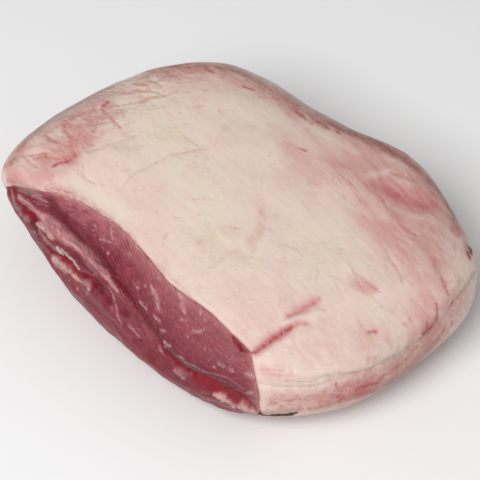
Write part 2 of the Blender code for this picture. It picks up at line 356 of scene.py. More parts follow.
# Pink and brown red lines and smudges
FAT_VEIN = {
    "vein a": (1.4, ((66, 120), (63.4, 127.7), (66.8, 131.8), (70.2, 137.3), (71, 142.7), (73, 150))),
    "vein b": (1.3, ((42.3, 134.5), (54.5, 140), (62.7, 143.4), (71, 145.5), (74.3, 151))),
    "vein c": (1.7, ((101, 107), (109, 115.5), (115, 121), (120, 127))),
    "vein d": (1.2, ((97.5, 119.5), (94, 130.5), (90.7, 138.6)), 0.6),
    "top band": (2.6, ((81.8, 97.7), (103.6, 93.6), (122.7, 91.6), (136.4, 89.5), (150, 88)), 0.75),
    "second band": (1.3, ((109, 105.2), (122.7, 104.5), (133.6, 102.5), (148.6, 99)), 0.7),
    "web a": (1.3, ((69, 119), (78, 113), (88, 109), (100, 107)), 0.7),
    "web b": (1.2, ((72, 114), (84, 106), (93, 103)), 0.6),
    "web c": (1.2, ((80.5, 138.6), (81.8, 145.5), (86, 151)), 0.7),
    "web d": (1.4, ((85, 144.5), (92.7, 143.4)), 0.8),
    "web e": (1.3, ((88, 116), (92, 108), (96, 103)), 0.6),
    "web f": (1.5, ((27, 147), (38, 145), (50, 149), (62, 150)), 0.55),
    "web g": (1.5, ((33, 158), (44, 156), (55, 158), (68, 155)), 0.7),
    "web h": (1.3, ((44, 163), (50, 161)), 0.6),
    "web i": (1.3, ((74, 144), (80, 132), (84, 126)), 0.5),
    "web j": (1.1, ((118, 108), (124, 113), (123, 120)), 0.5),
    "web k": (1.4, ((96, 116), (106, 118), (120, 117)), 0.4),
    "left edge": (2.0, ((14, 153), (19, 147), (27, 139)), 0.7),
    "fold f": (1.2, ((16.4, 153.6), (24.5, 155), (35.5, 153.6), (46.4, 152.3)), 0.9),
    "fold g": (1.3, ((24.5, 156.4), (30, 161.8), (36.8, 166.6)), 0.6),
    "fringe a": (2.0, ((46, 190), (60, 195), (74, 199)), 0.7),
    "fringe b": (1.5, ((58, 189), (68, 193), (80, 199)), 0.5),
    "dash c": (1.3, ((224, 68), (227, 71)), 0.7),
    "dash d": (1.2, ((219, 77), (225, 77)), 0.7),
    "dash f": (1.2, ((237, 72), (240, 74)), 0.7),
    "dash g": (1.3, ((264, 86), (267, 88)), 0.7),
    "dash h": (1.3, ((259, 96), (272, 97), (285, 100)), 0.7),
    "dash i": (1.3, ((278, 104), (281, 106)), 0.8),
    "dash j": (1.4, ((294, 105), (298, 108)), 0.9),
    "dash l": (1.4, ((310, 121), (314, 123)), 0.9),
    "dash o": (1.4, ((305, 128), (309, 130)), 0.8),
    "dash p": (1.1, ((184, 91), (193, 91)), 0.6),
    "dash q": (1.1, ((203, 89), (209, 90)), 0.6),
    "dash r": (1.1, ((193, 107), (205, 106)), 0.5),
    "dash s": (1.2, ((178, 112), (181, 113)), 0.6),
    "dash t": (1.2, ((163, 107),), 0.6),
    "dash u": (1.2, ((219, 110),), 0.5),
    "dash v": (1.2, ((170, 76), (180, 72)), 0.6),
    "dash w": (1.2, ((196, 78), (206, 80)), 0.5),
    "dash x": (1.3, ((270, 92), (282, 97)), 0.6),
    "dash y": (1.4, ((312, 117), (322, 122)), 0.7),
    "dash z": (1.3, ((286, 112), (292, 116)), 0.6),
    "spot b": (1.1, ((296, 155),), 0.6),
    "centre a": (1.4, ((275, 213), (278, 216)), 0.6),
    "centre b": (1.4, ((262, 184), (261, 179)), 0.35),
    "centre c": (1.4, ((197, 242), (201, 240.5)), 0.5),
    "centre d": (1.3, ((213, 225), (216, 227)), 0.35),
    "centre e": (1.3, ((203, 211), (197, 215)), 0.4),
    "centre f": (1.3, ((175, 216), (178, 218)), 0.4),
    "centre g": (1.0, ((182, 197), (195, 198.5), (208, 198), (215, 201)), 0.45),
    "centre h": (1.1, ((226, 208), (229, 203)), 0.4),
    "centre i": (1.1, ((221, 187),), 0.4),
    "centre j": (1.6, ((230, 226), (236, 229), (241, 228)), 0.3),
    "centre line": (1.2, ((207, 270), (220, 259.5), (227, 254), (240, 249)), 0.42),
    "lower line": (1.2, ((279, 242), (295, 248), (304, 255)), 0.4),
    "streak": (1.4, ((320, 267), (316, 280)), 0.35),
    "streak b": (1.3, ((311, 268), (309, 284)), 0.25),
    "streak c": (1.5, ((340, 246), (342, 258)), 0.2),
    "hollow heart": (3.5, ((386, 187), (395, 193), (404, 197)), 0.6),
    "hollow end": (3.0, ((414, 203), (424, 206.5), (432, 204.5)), 0.4),
    "hollow top": (2.2, ((391.8, 171), (407.3, 176.4), (416.5, 179.5)), 0.7),
    "hollow edge": (2.0, ((405, 207), (417, 211), (429, 211)), 0.5),
    "hollow side": (2.0, ((424, 193), (433, 199), (438, 204)), 0.6),
    "right a": (1.2, ((339.3, 161.7), (347, 168)), 0.55),
    "right b": (1.3, ((364, 181.8), (368, 188), (371.7, 192.6)), 0.55),
    "right c": (1.6, ((404, 225), (411, 230), (418, 234.4)), 0.65),
    "right d": (1.2, ((421.8, 244.2), (429.5, 251.8), (437, 261.6)), 0.7),
    "right e": (1.2, ((385.6, 208), (391.8, 215.8)), 0.55),
    "right f": (1.4, ((450.5, 220.5), (455, 229), (458, 236)), 0.6),
    "right g": (1.5, ((452.4, 240.9), (455.6, 249.6), (456.7, 258.4)), 0.65),
    "right h": (1.6, ((411, 232), (418.5, 235.5)), 0.6),
    "right l": (1.6, ((400, 278), (404.4, 282.4)), 0.6),
    "right m": (1.2, ((407.6, 322.7), (405.5, 327)), 0.5),
    "right i": (1.4, ((345, 178), (352, 186), (356, 196)), 0.35),
    "right j": (1.5, ((395, 228), (407, 236), (416, 240)), 0.45),
    "right k": (1.4, ((413, 243), (424, 250)), 0.4),
    "long right": (1.0, ((381, 242), (391.8, 259), (398, 271.5), (404, 282.3)), 0.6),
    "low pink a": (1.6, ((346, 288), (346, 292)), 0.5),
    "low pink b": (1.2, ((348.5, 260.6), (354.7, 271.5), (361, 287)), 0.4),
    "low pink c": (1.5, ((354.7, 271.5), (364, 280), (374.8, 288.5), (381, 293)), 0.6),
    "low pink d": (1.3, ((366, 282), (358, 290)), 0.4),
    "low c": (1.4, ((393, 309), (393, 314)), 0.5),
    "low d": (1.6, ((403, 323), (407, 326)), 0.6),
    "low e": (1.3, ((410, 318), (414, 328)), 0.5),
    "smudge e": (1.6, ((367.9, 356), (368, 364)), 0.7),
    "smudge f": (1.3, ((374.9, 356), (373, 360), (372, 364)), 0.7),
    "smudge g": (1.3, ((368.6, 343), (368.2, 355)), 0.4),
    "smudge h": (1.3, ((398.8, 345), (398.8, 350)), 0.5),
    "smudge i": (1.3, ((340.5, 370), (339, 373)), 0.6),
    "smudge j": (1.5, ((419.1, 346), (416.3, 352)), 0.7),
    "smudge k": (1.4, ((366, 373), (363.5, 378)), 0.5),
    "smudge l": (1.2, ((371.4, 371), (371, 375)), 0.5),
    "smudge m": (1.6, ((348.9, 381), (348.9, 387)), 0.7),
    "smudge n": (1.4, ((394.6, 370), (392, 375)), 0.4),
    "smudge o": (2.2, ((456, 276), (461, 280.2), (459, 284)), 0.5),
    "seam core": (0.8, ((420, 341.3), (430, 334.8), (437, 328.2)), 1.0),
    "seam pink": (1.2, ((344, 394.6), (351, 391), (357, 388)), 0.6),
    "low streak a": (1.5, ((259, 370), (270, 369), (284, 371)), 0.5),
    "low streak b": (1.4, ((262, 375), (275, 374), (290, 377)), 0.5),
    "low streak c": (1.2, ((268, 365), (280, 366)), 0.4),
    "under seam g": (1.3, ((332.3, 394), (332.5, 397)), 0.6),
    "under seam h": (2.0, ((316, 409), (326, 405.5), (338, 402)), 0.5),
    "right end": (1.5, ((464, 290), (458, 305), (450, 318)), 0.5),
}
# Soft pink blushes
FAT_BLUSH = {
    "node glow": (8.0, ((52, 164), (62, 160), (74, 155)), 0.9),
    "left bulge": (15.0, ((14, 172), (34, 178), (56, 176)), 0.95),
    "above the fat line": (6.0, ((36, 184), (54, 190), (67, 195))),
    "lilac a": (8.0, ((253, 126),), 0.5),
    "lilac b": (7.0, ((227, 126),), 0.5),
    "right shoulder": (26.0, ((290, 146), (315, 160), (340, 176)), 0.7),
    "right side": (32.0, ((365, 205), (400, 232), (430, 262)), 0.75),
    "far right": (24.0, ((352, 146), (400, 170), (435, 205)), 1.0),
    "lower right": (26.0, ((425, 275), (436, 300), (415, 335)), 1.0),
    "low middle": (24.0, ((300, 350), (335, 350), (380, 335)), 0.42),
    "bottom": (16.0, ((275, 395), (310, 395), (345, 388), (385, 370)), 0.55),
    "centre streak": (6.0, ((261, 208), (260, 217), (262, 230), (250, 241), (254, 250)), 0.7),
    "centre spot": (5.0, ((236, 229),), 0.5),
    "centre wash": (9.0, ((196, 240), (216, 247), (244, 256)), 0.3),
    "centre wash b": (6.0, ((222, 226), (240, 236)), 0.3),
    "hollow": (9.5, ((377, 183), (395, 191), (413, 200), (432, 203))),
    "hollow rim": (14.0, ((370, 180), (395, 190), (430, 206)), 0.8),
    "gash glow": (8.0, ((252, 354), (271, 339), (296, 322)), 0.95),
    "upper gash glow": (7.0, ((286, 317), (302, 308), (318, 298)), 0.95),
    "upper gash glow b": (4.0, ((305, 322), (314, 328)), 0.5),
    "ridge under the gash": (5.0, ((300, 330), (312, 336)), 0.3),
    "round patch": (9.0, ((433.5, 228),), 0.6),
    "lower left": (10.0, ((262, 368), (292, 378)), 0.8),
    "lower middle": (26.0, ((230, 290), (262, 320)), 0.35),
    "cluster glow": (8.0, ((424, 334), (438, 322)), 0.8),
    "right edge": (12.0, ((455, 290), (440, 320)), 1.0),
    "low glow": (8.0, ((352, 285), (375, 290)), 0.7),
    "smudge glow": (7.0, ((372, 331), (380, 329)), 0.6),
    "smudge glow b": (7.0, ((368, 358), (380, 360)), 0.6),
    "vein glow": (16.0, ((52, 150), (66, 142), (84, 132)), 0.7),
    "vein glow b": (7.0, ((102, 104), (112, 118)), 0.6),
    "top pink": (10.0, ((160, 74), (200, 78), (240, 84)), 0.5),
}
# Deeper, soft pink
FAT_FLUSH = {
    "hollow": (7.5, ((380, 185), (390, 189.5), (401, 195.5), (413, 201), (427, 205)), 0.95),
    "hollow middle": (4.5, ((388, 188), (396, 192), (404, 197)), 0.9),
    "end of the left bulge": (6.0, ((8, 174), (14, 179), (20, 184)), 0.7),
    "hollow rim": (11.0, ((376, 182), (392, 190), (410, 199), (432, 205)), 0.65),
    "gash": (6.5, ((254, 353), (262, 346), (271, 339.5), (281, 332.5), (292, 325)), 0.6),
    "gash end": (5.0, ((289, 327), (299, 322.5), (309, 323)), 0.3),
    "upper gash": (4.5, ((287, 316), (299, 310.5), (308, 304), (320, 298)), 0.3),
    "cluster": (5.5, ((424, 334), (432, 329), (438, 317))),
    "node": (5.0, ((64, 161), (76, 155)), 0.45),
    "low smudge": (7.0, ((350, 392), (364, 389), (380, 382)), 0.85),
    "low smudge b": (5.0, ((332, 399), (345, 394)), 0.6),
    "low smudge c": (3.5, ((336, 391), (348, 387), (360, 383)), 0.6),
    "seam spot": (4.5, ((368, 332), (379, 331)), 0.35),
    "left bulge": (6.0, ((8, 178), (20, 184), (40, 193)), 0.5),
    "end": (4.0, ((466, 244), (471, 256)), 0.6),
    "low pink": (6.0, ((350, 276), (362, 284), (376, 290)), 0.3),
}
# Yellow cream fat
FAT_CREAM = {
    "top band": (14.0, ((225, 96), (255, 108), (285, 123)), 0.9),
    "middle": (42.0, ((150, 130), (190, 165), (225, 215), (240, 260))),
    "upper middle": (26.0, ((120, 100), (160, 115))),
    "pale ridge": (3.5, ((268, 230), (264, 248), (250, 269))),
    "right middle": (34.0, ((300, 215), (330, 240), (360, 262)), 0.8),
    "under the fold": (10.0, ((75, 182), (100, 196), (125, 210)), 0.8),
    "foot": (7.0, ((300, 402), (330, 404)), 0.7),
}
# Fine yellow brown cracks and creases in the skin of the fat
FAT_CRACKS = {
    "outline wrinkles": (1.6, ((36.8, 133.2), (42, 130), (50, 126)), 0.9),
    "wiggle": (1.2, ((81.8, 160.5), (83.2, 167.3), (81.8, 174), (84.5, 178.2), (92.7, 181.6), (105, 184.3)), 0.8),
    "wiggle b": (1.1, ((76, 160), (78, 168), (77, 174)), 0.5),
    "yellow": (1.2, ((120, 170), (131, 169.3)), 0.6),
    "long a": (1.4, ((140, 170), (148, 165), (170, 155), (202, 147)), 0.8),
    "long b": (1.2, ((180, 134), (190, 140), (202, 147)), 0.7),
    "centre": (1.4, ((168, 228), (163, 239)), 0.8),
    "soft": (1.4, ((143, 167), (131, 175.5), (118.6, 189)), 0.5),
    "under fold g": (2.0, ((30, 162), (37, 167), (45, 170)), 0.5),
    "top a": (1.3, ((140, 79), (152, 79), (161, 84)), 0.85),
    "top b": (1.3, ((140, 90), (154, 90), (166, 94)), 0.85),
    "top c": (1.3, ((140, 98.6), (152, 97), (158, 94)), 0.85),
    "top d": (1.3, ((150, 73), (163, 71), (176, 72)), 0.8),
    "top e": (1.3, ((130, 84), (142, 83), (150, 85)), 0.8),
}
# Grey translucent creases and skin, and grey painted shade along the upper left outline and at the lower right
FAT_GREY = {
    "crease e": (1.5, ((69.5, 124.3), (81.8, 123), (95.5, 122.3), (109, 121)), 0.9),
    "crease e upper": (1.3, ((81.8, 119.5), (95.5, 116.8), (107.7, 116)), 0.6),
    "crease i": (1.7, ((87.3, 151), (103.6, 145.5), (116, 141.4), (126.8, 137.3), (136.4, 134.5)), 0.7),
    "smudge": (7.0, ((114, 145), (126.8, 144), (140, 144)), 0.42),
    "smudge b": (8.0, ((103, 108), (118, 114)), 0.6),
    "left band": (3.4, ((12.3, 179), (27.3, 187), (41, 195)), 0.9),
    "outline": (4.2, ((26, 138), (54.5, 119), (81.8, 101), (122.7, 84)), 0.8),
    "seam a": (1.1, ((287, 381.5), (301, 382.4), (311.2, 382.1), (318.9, 380.8), (326, 377.6), (340, 375),
        (358, 373.9), (365, 372.1), (376.3, 367.9), (386, 362.3), (398.8, 356), (407.2, 351.8), (418.4, 343.8),
        (433.8, 331.5)), 0.9),
    "seam right": (1.9, ((428, 336), (441.5, 322.7), (450.2, 312.9), (457, 302)), 0.9),
    "seam end": (2.7, ((455, 305), (465.5, 291.1), (472, 281.3), (477, 271)), 0.9),
    "seam b": (0.9, ((298.5, 378.9), (311.2, 378.6), (318.9, 377), (326.5, 374.6), (340, 372.8)), 0.7),
    "seam c": (1.0, ((256, 383.8), (271, 387.2), (285.7, 388.2), (301, 387.5), (317, 386.6), (325.3, 384),
        (336.1, 380.8), (345.4, 377.7), (359.5, 373.5)), 0.85),
    "seam d": (0.9, ((384, 366), (393.2, 360.9), (400, 358), (407.2, 354.6), (416, 348)), 0.8),
    "seam e": (1.8, ((380, 361), (393.2, 354.6), (408, 346.5)), 0.35),
    "seam band": (3.0, ((258, 381), (285, 385), (310, 384.5), (335, 377.5), (362, 372)), 0.45),
    "seam line": (0.9, ((268, 379), (278, 380), (288, 381.5)), 0.5),
    "far grey line": (1.0, ((428, 256), (434, 263), (442, 274)), 0.6),
    "wrinkle": (1.3, ((67, 115), (86, 112)), 0.5),
    "round the hollow": (2.0, ((430, 318), (450, 300), (464, 280)), 0.3),
    "lower right shade": (5.0, ((402, 338), (430, 318), (452, 290)), 0.25),
}
# Ruddy, translucent thin fat, and ruddy painted shade along the outlines, low down under the seam and over the right
# side
FAT_RUDDY = {
    "vein zone": (22.0, ((48, 140), (72, 130), (95, 118)), 1.0),
    "vein zone low": (13.0, ((40, 158), (62, 158), (78, 152)), 0.8),
    "far edge": (10.0, ((150, 70), (195, 64), (235, 71), (262, 85), (300, 108), (335, 124)), 0.9),
    "far right edge": (13.0, ((330, 122), (370, 139), (410, 162), (440, 194), (462, 232)), 1.0),
    "far rim": (5.0, ((253, 80), (275, 91), (297, 106), (320, 120), (340, 129), (363, 138), (383, 147),
        (403, 160), (423, 175), (438, 190), (452, 211), (462, 234)), 1.0),
    "right shade": (34.0, ((345, 165), (395, 205), (440, 262)), 0.68),
    "under the seam": (10.0, ((270, 404), (300, 403), (330, 398), (352, 390), (385, 376), (412, 357)), 1.0),
    "under the seam low": (8.0, ((300, 408), (335, 400), (362, 394), (392, 381), (425, 352)), 1.0),
    "low right": (12.0, ((410, 356), (430, 342), (446, 326)), 1.0),
    "right end": (7.0, ((470, 284), (462, 304), (446, 330)), 0.4),
    "left rim": (8.0, ((6, 168), (20, 146), (38, 126)), 0.9),
    "left outline": (9.0, ((38, 130), (60, 118), (84, 106), (112, 102)), 0.6),
    "lip": (5.0, ((7, 180), (16, 185), (28, 190), (42, 197)), 0.9),
}
# Painted shade: dark red brown along the outlines, where the fat turns away from the light
FAT_RIM_SHADE = {
    "far right": (2.8, ((297, 104), (320, 118), (340, 127), (363, 136), (383, 145), (403, 158), (420, 170)), 0.9),
    "far right end": (2.2, ((418, 168), (437, 187), (450, 205), (460, 228)), 0.7),
    "end": (3.0, ((466, 240), (470, 248), (473, 256)), 0.6),
    "by the slit": (3.2, ((260, 414), (274, 414), (288, 413), (304, 411)), 0.65),
    "far right patch": (3.4, ((357, 134.5), (366, 138), (378, 142.5)), 0.8),
    "far right patch b": (3.0, ((383, 149), (393, 154.5), (404, 160)), 0.6),
    "far edge": (2.2, ((215, 66), (236, 70), (253, 78), (275, 89), (300, 106)), 0.7),
    "far edge streak": (2.0, ((276, 99), (292, 108), (312, 120), (330, 130)), 0.35),
    "top edge": (1.8, ((160, 66), (185, 63), (210, 66)), 0.5),
    "inner line": (1.6, ((404, 160), (417, 168), (429, 178), (441, 194)), 0.4),
    "foot right": (3.2, ((345, 401.5), (372, 394), (400, 379), (425, 357), (440, 339)), 0.7),
    "foot": (2.4, ((308, 411), (326, 408), (345, 402)), 0.6),
    "left outline": (2.2, ((8, 166), (20, 145), (38, 127), (60, 112), (90, 94), (120, 80)), 0.5),
}
# The lean meat showing through the fat's edge
FAT_MEAT = {
    "left edge": (3.4, ((42, 194.5), (56, 193.5), (70, 197), (84, 203), (98, 211)), 0.75),
    "left edge far": (6.5, ((46, 189), (62, 190), (80, 198), (96, 208)), 0.5),
    "edge start": (3.4, ((74, 197), (98, 210), (116, 224), (136, 241)), 0.8),
    "edge": (1.8, ((98, 211.5), (114, 224), (131, 238), (150, 259), (170, 276), (190, 295), (212, 316),
        (235, 338)), 0.4),
    "notch": (2.2, ((232, 335), (240, 344), (249, 352)), 0.7),
    "right edge": (1.6, ((250, 360), (253, 376), (257, 392), (260, 403)), 0.5),
}
# Painted shadow: the darkest bits, at the outline and under the fat's edge by the foot
FAT_PAINTED_SHADE = {
    "slit": (2.4, ((257, 415.5), (264, 417.5), (276, 418), (288, 417), (298, 415)), 0.95),
    "slit start": (1.6, ((256, 410.5), (260, 414)), 0.7),
    "end bit": (1.7, ((469.5, 245.5), (472, 249), (474, 254)), 0.8),
}
# Pale grey white skin, and painted highlights on the ridges by the gash and a painted glint by the hollow
FAT_PALE = {
    "between the veins": (4.5, ((50, 134), (58, 132), (65, 138)), 0.9),
    "gash ridge": (2.4, ((284, 322), (296, 318), (309, 314), (323, 311)), 0.8),
    "gash ridge b": (2.0, ((262, 356), (274, 347), (286, 338)), 0.6),
    "right band": (3.6, ((367, 174), (381, 172.5), (391.8, 169.5)), 0.7),
    "right wedge": (4.0, ((388.7, 157), (398, 161), (407.3, 166.4)), 0.7),
    "ring": (2.0, ((400, 180.3),), 0.6),
    "glint a": (1.2, ((432.8, 197.3),), 0.8),
    "below the hollow": (3.0, ((395, 207), (408, 214), (424, 218)), 0.5),
    "pale ridge": (3.0, ((268, 230), (264, 248), (250, 269)), 0.6),
    "skin by vein c": (3.0, ((84, 116), (94, 113)), 0.4),
}

# The values that the materials read
FAT_STROKES = {
    "blood": FAT_BLOOD,
    "vein": FAT_VEIN,
    "blush": FAT_BLUSH,
    "flush": FAT_FLUSH,
    "cream": FAT_CREAM,
    "crack": FAT_CRACKS,
    "grey": FAT_GREY,
    "painted_shade": FAT_PAINTED_SHADE,
    "pale": FAT_PALE,
    "ruddy": FAT_RUDDY,
    "rim": FAT_RIM_SHADE,
    "meat": FAT_MEAT,
}
FAT_PAINT = (*FAT_STROKES, "streaky", "web", "low", "edge")

# Grooves and ridges in the fat: half width and line in the picture in pixels, and depth in metres
FAT_RELIEF = {
    "vein a": (2.0, 0.0006, FAT_VEIN["vein a"][1]),
    "vein b": (2.0, 0.0007, FAT_VEIN["vein b"][1]),
    "vein c": (2.0, 0.0007, FAT_VEIN["vein c"][1]),
    "vein d": (2.0, 0.0004, FAT_VEIN["vein d"][1]),
    "crease e": (2.4, 0.0007, FAT_GREY["crease e"][1]),
    "crease i": (2.4, 0.0006, FAT_GREY["crease i"][1]),
    "fold f": (2.4, 0.0010, FAT_VEIN["fold f"][1]),
    "fold g": (2.4, 0.0009, FAT_VEIN["fold g"][1]),
    "wrinkle": (2.2, 0.0006, FAT_GREY["wrinkle"][1]),
    "outline wrinkles": (2.2, 0.0008, FAT_CRACKS["outline wrinkles"][1]),
    "top wrinkle a": (2.0, 0.0008, FAT_CRACKS["top a"][1]),
    "top wrinkle b": (2.0, 0.0008, FAT_CRACKS["top b"][1]),
    "top wrinkle c": (2.0, 0.0008, FAT_CRACKS["top c"][1]),
    "top wrinkle d": (2.0, 0.0007, FAT_CRACKS["top d"][1]),
    "top wrinkle e": (2.0, 0.0007, FAT_CRACKS["top e"][1]),
    "top band": (2.6, 0.0006, FAT_VEIN["top band"][1]),
    "web a": (2.0, 0.0005, FAT_VEIN["web a"][1]),
    "web g": (2.0, 0.0005, FAT_VEIN["web g"][1]),
    "wiggle": (1.8, 0.0004, FAT_CRACKS["wiggle"][1]),
    "soft": (4.0, 0.0004, FAT_CRACKS["soft"][1]),
    "left lip": (3.4, 0.0014, FAT_GREY["left band"][1]),
    "hollow": (11.0, 0.0015, FAT_BLUSH["hollow"][1]),
    "above the hollow": (9.0, -0.0005, ((385, 165), (405, 172), (430, 190))),
    "under the hollow": (9.0, -0.0007, ((385, 210), (405, 222), (440, 219))),
    "gash": (4.4, 0.0020, FAT_BLOOD["gash"][1]),
    "gash lip": (6.0, -0.0009, ((262, 358), (276, 347), (292, 337))),
    "upper gash": (4.4, 0.0007, FAT_BLOOD["upper gash"][1]),
    "long crack": (2.2, 0.0004, FAT_CRACKS["long a"][1]),
    "centre crack": (2.2, 0.0004, FAT_CRACKS["centre"][1]),
    "smudge": (6.0, 0.0006, FAT_GREY["smudge"][1]),
    "gash ridge": (4.8, -0.0007, FAT_PALE["gash ridge"][1]),
    "seam a": (2.2, 0.0013, FAT_GREY["seam a"][1]),
    "seam right": (2.8, 0.0016, FAT_GREY["seam right"][1]),
    "seam end": (3.4, 0.0016, FAT_GREY["seam end"][1]),
    "seam b": (1.8, 0.0004, FAT_GREY["seam b"][1]),
    "seam c": (1.9, 0.0008, FAT_GREY["seam c"][1]),
    "seam d": (1.8, 0.0005, FAT_GREY["seam d"][1]),
    "above the seam": (9.0, -0.0011, ((300, 371), (340, 364), (375, 353), (405, 338), (430, 316), (455, 285))),
    "seam spot": (4.0, 0.0008, FAT_BLOOD["seam spot"][1]),
    "cluster": (2.6, 0.0007, FAT_BLOOD["cluster a"][1]),
    "left bulge": (16.0, -0.0016, FAT_BLUSH["left bulge"][1]),
    "slit": (2.6, 0.0008, FAT_PAINTED_SHADE["slit"][1]),
    "pale ridge": (4.0, -0.0005, FAT_CREAM["pale ridge"][1]),
    "hollow top": (2.2, 0.0005, FAT_VEIN["hollow top"][1]),
    "right c": (2.2, 0.0005, FAT_VEIN["right c"][1]),
    "long right": (2.0, 0.0003, FAT_VEIN["long right"][1]),
    "right band": (5.0, -0.0007, FAT_PALE["right band"][1]),
}

# The bottom of the crease in the lean meat, as it shows in the picture
CREASE_IN_PICTURE = (
    (112.6, 277.9), (121.8, 288.2), (129.8, 299.7), (137.9, 313.5), (145.9, 326.1), (155.1, 339.9), (164.3, 353.6),
    (173.5, 364), (182.6, 369.7), (191.8, 374.3), (203.3, 377.7), (214.8, 383.5), (226.3, 390.4), (237.7, 393.8),
    (249.2, 403), (257.2, 411),
)
# What shows on the lean meat, in the same way. Pale marbling in the cut face and on the flap
LEAN_MARBLING = {
    "long a": (1.7, ((150.5, 285.9), (152.8, 290.5), (156.2, 296.2), (157.4, 303.1), (159.7, 311.2))),
    "long a middle": (2.4, ((155.5, 296), (157, 302)), 0.8),
    "long b": (1.9, ((178, 292.8), (182.6, 299.7), (182.1, 307.7), (185.5, 313.5))),
    "long b middle": (2.8, ((182, 301), (182.5, 309)), 0.8),
    "wisp a": (1.3, ((168.9, 275.6), (173.5, 282.5), (178, 289.4))),
    "wisp b": (1.3, ((153.9, 315.8), (156, 319), (159.7, 322.1))),
    "wisp c": (0.9, ((139, 300.8), (143, 305), (147.1, 310))),
    "wisp d": (1.0, ((134.4, 284.8), (139, 288.8))),
    "wisp e": (1.5, ((191.8, 331.8), (198.7, 331.8), (203.9, 329.5))),
    "wisp f": (1.4, ((164.3, 341), (167, 344), (171.2, 346.7))),
    "wisp g": (1.0, ((164.3, 347.9), (167, 346), (169, 344)), 0.8),
    "wisp h": (1.3, ((199.9, 310), (201, 315.8))),
    "wisp i": (1.1, ((202.2, 319.2), (206.2, 321.5))),
    "wisp j": (1.4, ((218.2, 364), (225.1, 366.8))),
    "wisp k": (1.9, ((229.7, 367.4), (233.1, 372)), 0.8),
    "wisp l": (1.0, ((205.6, 347.9), (205, 351)), 0.8),
    "wisp m": (1.1, ((160.8, 330.7), (166.6, 331.8))),
    "wisp n": (1.0, ((144.2, 285.3), (146, 287)), 0.8),
    "wisp o": (1.1, ((157.4, 276.7), (160.8, 279.6)), 0.8),
    "wisp p": (1.0, ((128.7, 252.6), (131, 254.5)), 0.8),
    "wisp q": (1.5, ((106.9, 252.6), (109.5, 253.5)), 0.9),
    "wisp r": (1.5, ((111.1, 226.4), (111.9, 231.4), (111.9, 236.4), (113.6, 239.7)), 0.7),
    "wisp s": (0.9, ((99.5, 238.8), (104.5, 239.7), (111.1, 243)), 0.7),
    "wisp t": (1.1, ((93.7, 223.9), (96, 227)), 0.7),
    "wisp u": (1.2, ((94.5, 235.5),), 0.7),
    "wisp v": (1.1, ((179.2, 355.9), (184.9, 360.5)), 0.8),
    "wisp w": (1.1, ((180.3, 318), (186.1, 320.9)), 0.8),
    "wisp x": (1.0, ((187.2, 336.4),), 0.7),
    "wisp y": (1.1, ((212.5, 366.3), (216, 368.6)), 0.7),
    "wisp z": (1.0, ((149.4, 264.1), (151, 266)), 0.7),
    "edge streak": (1.0, ((134.4, 243.4), (142.5, 252.6)), 0.7),
    "edge patch": (2.6, ((244.6, 373.1), (253.8, 376.6)), 0.9),
    "edge patch low": (2.0, ((246.9, 392.7), (253.8, 392.7)), 0.9),
    "top streaks": (1.4, ((64.7, 193.6), (66.3, 197.6), (70.5, 202)), 0.5),
    "crease line": (0.8, ((174.6, 353.6), (182.6, 361.7), (194.1, 365.1), (203.3, 370.8), (214.8, 374.3),
        (225.1, 376.6), (233.1, 381.2), (243.5, 389.2)), 0.55),
    "crease line b": (0.7, ((168, 347), (177, 357), (188, 365), (200, 373), (214, 378), (228, 382)), 0.25),
    "flap line": (0.9, ((108, 284.8), (112.6, 293.9), (117.2, 307.7), (121.8, 324.9))),
    "flap line b": (0.9, ((126.4, 324.9), (133.3, 329.5), (140.2, 338.7)), 0.9),
    "flap line c": (0.8, ((157.4, 346.7), (162, 354.8)), 0.8),
    "flap line d": (0.8, ((87.9, 278.6), (92, 282), (96.2, 286.1)), 0.7),
    "flap speck a": (1.1, ((69.7, 280.3),), 0.8),
    "flap speck b": (1.1, ((77.1, 289.4),), 0.8),
    "flap speck c": (1.0, ((86.7, 291.9), (86.7, 295)), 0.8),
    "flap lump": (2.3, ((174.6, 369.7), (180.3, 373.1), (184.9, 378.9)), 0.7),
    "flap film": (1.8, ((111.5, 305.4), (113, 310)), 0.5),
}
# Fat on the flap and along the foot
LEAN_FAT = {
    "lump a": (3.0, ((38, 222.5), (43.1, 224.8), (49.8, 232.2), (54.7, 239.7))),
    "lump b": (3.7, ((53.1, 256.3), (58, 262.9), (64.7, 267), (71.3, 272))),
    "lump b tail": (2.3, ((72, 274), (81.3, 281.1), (86.2, 286.1), (88.7, 291.1)), 0.85),
    "strip a": (2.6, ((213.6, 393.8), (221.7, 397.2), (228.6, 400.7), (235.4, 405.3)), 0.85),
    "strip b": (3.3, ((237.7, 403.5), (246.9, 408.5), (256.1, 413)), 0.9),
    "corner": (2.4, ((258.5, 410.5), (265, 411.5), (271, 413)), 0.8),
}
# Pale pink membrane along the crease, and a faint painted sheen on the flap
LEAN_MEMBRANE = {
    "band start": (3.2, ((19.1, 194.9), (21.6, 199), (27.4, 204), (34.8, 210.7), (43, 216)), 0.9),
    "band": (6.4, ((43, 216), (52, 224), (60, 232), (68, 239), (76, 244.5))),
    "band middle": (5.2, ((72, 241), (83, 249.5), (90, 257), (97, 265))),
    "band end": (4.0, ((90, 257), (98, 266), (104, 273), (109, 279)), 0.95),
    "band tip": (2.0, ((104, 273), (110, 280), (114, 286), (118, 292)), 0.8),
    "flap sheen": (5.0, ((114.9, 289.4), (125, 301), (134.4, 314), (145, 326), (157, 342)), 0.22),
    "foot film": (2.0, ((201, 391.5), (209, 393.8)), 0.2),
    "under the lip": (2.2, ((31.5, 195), (38, 198), (46, 202)), 0.5),
}
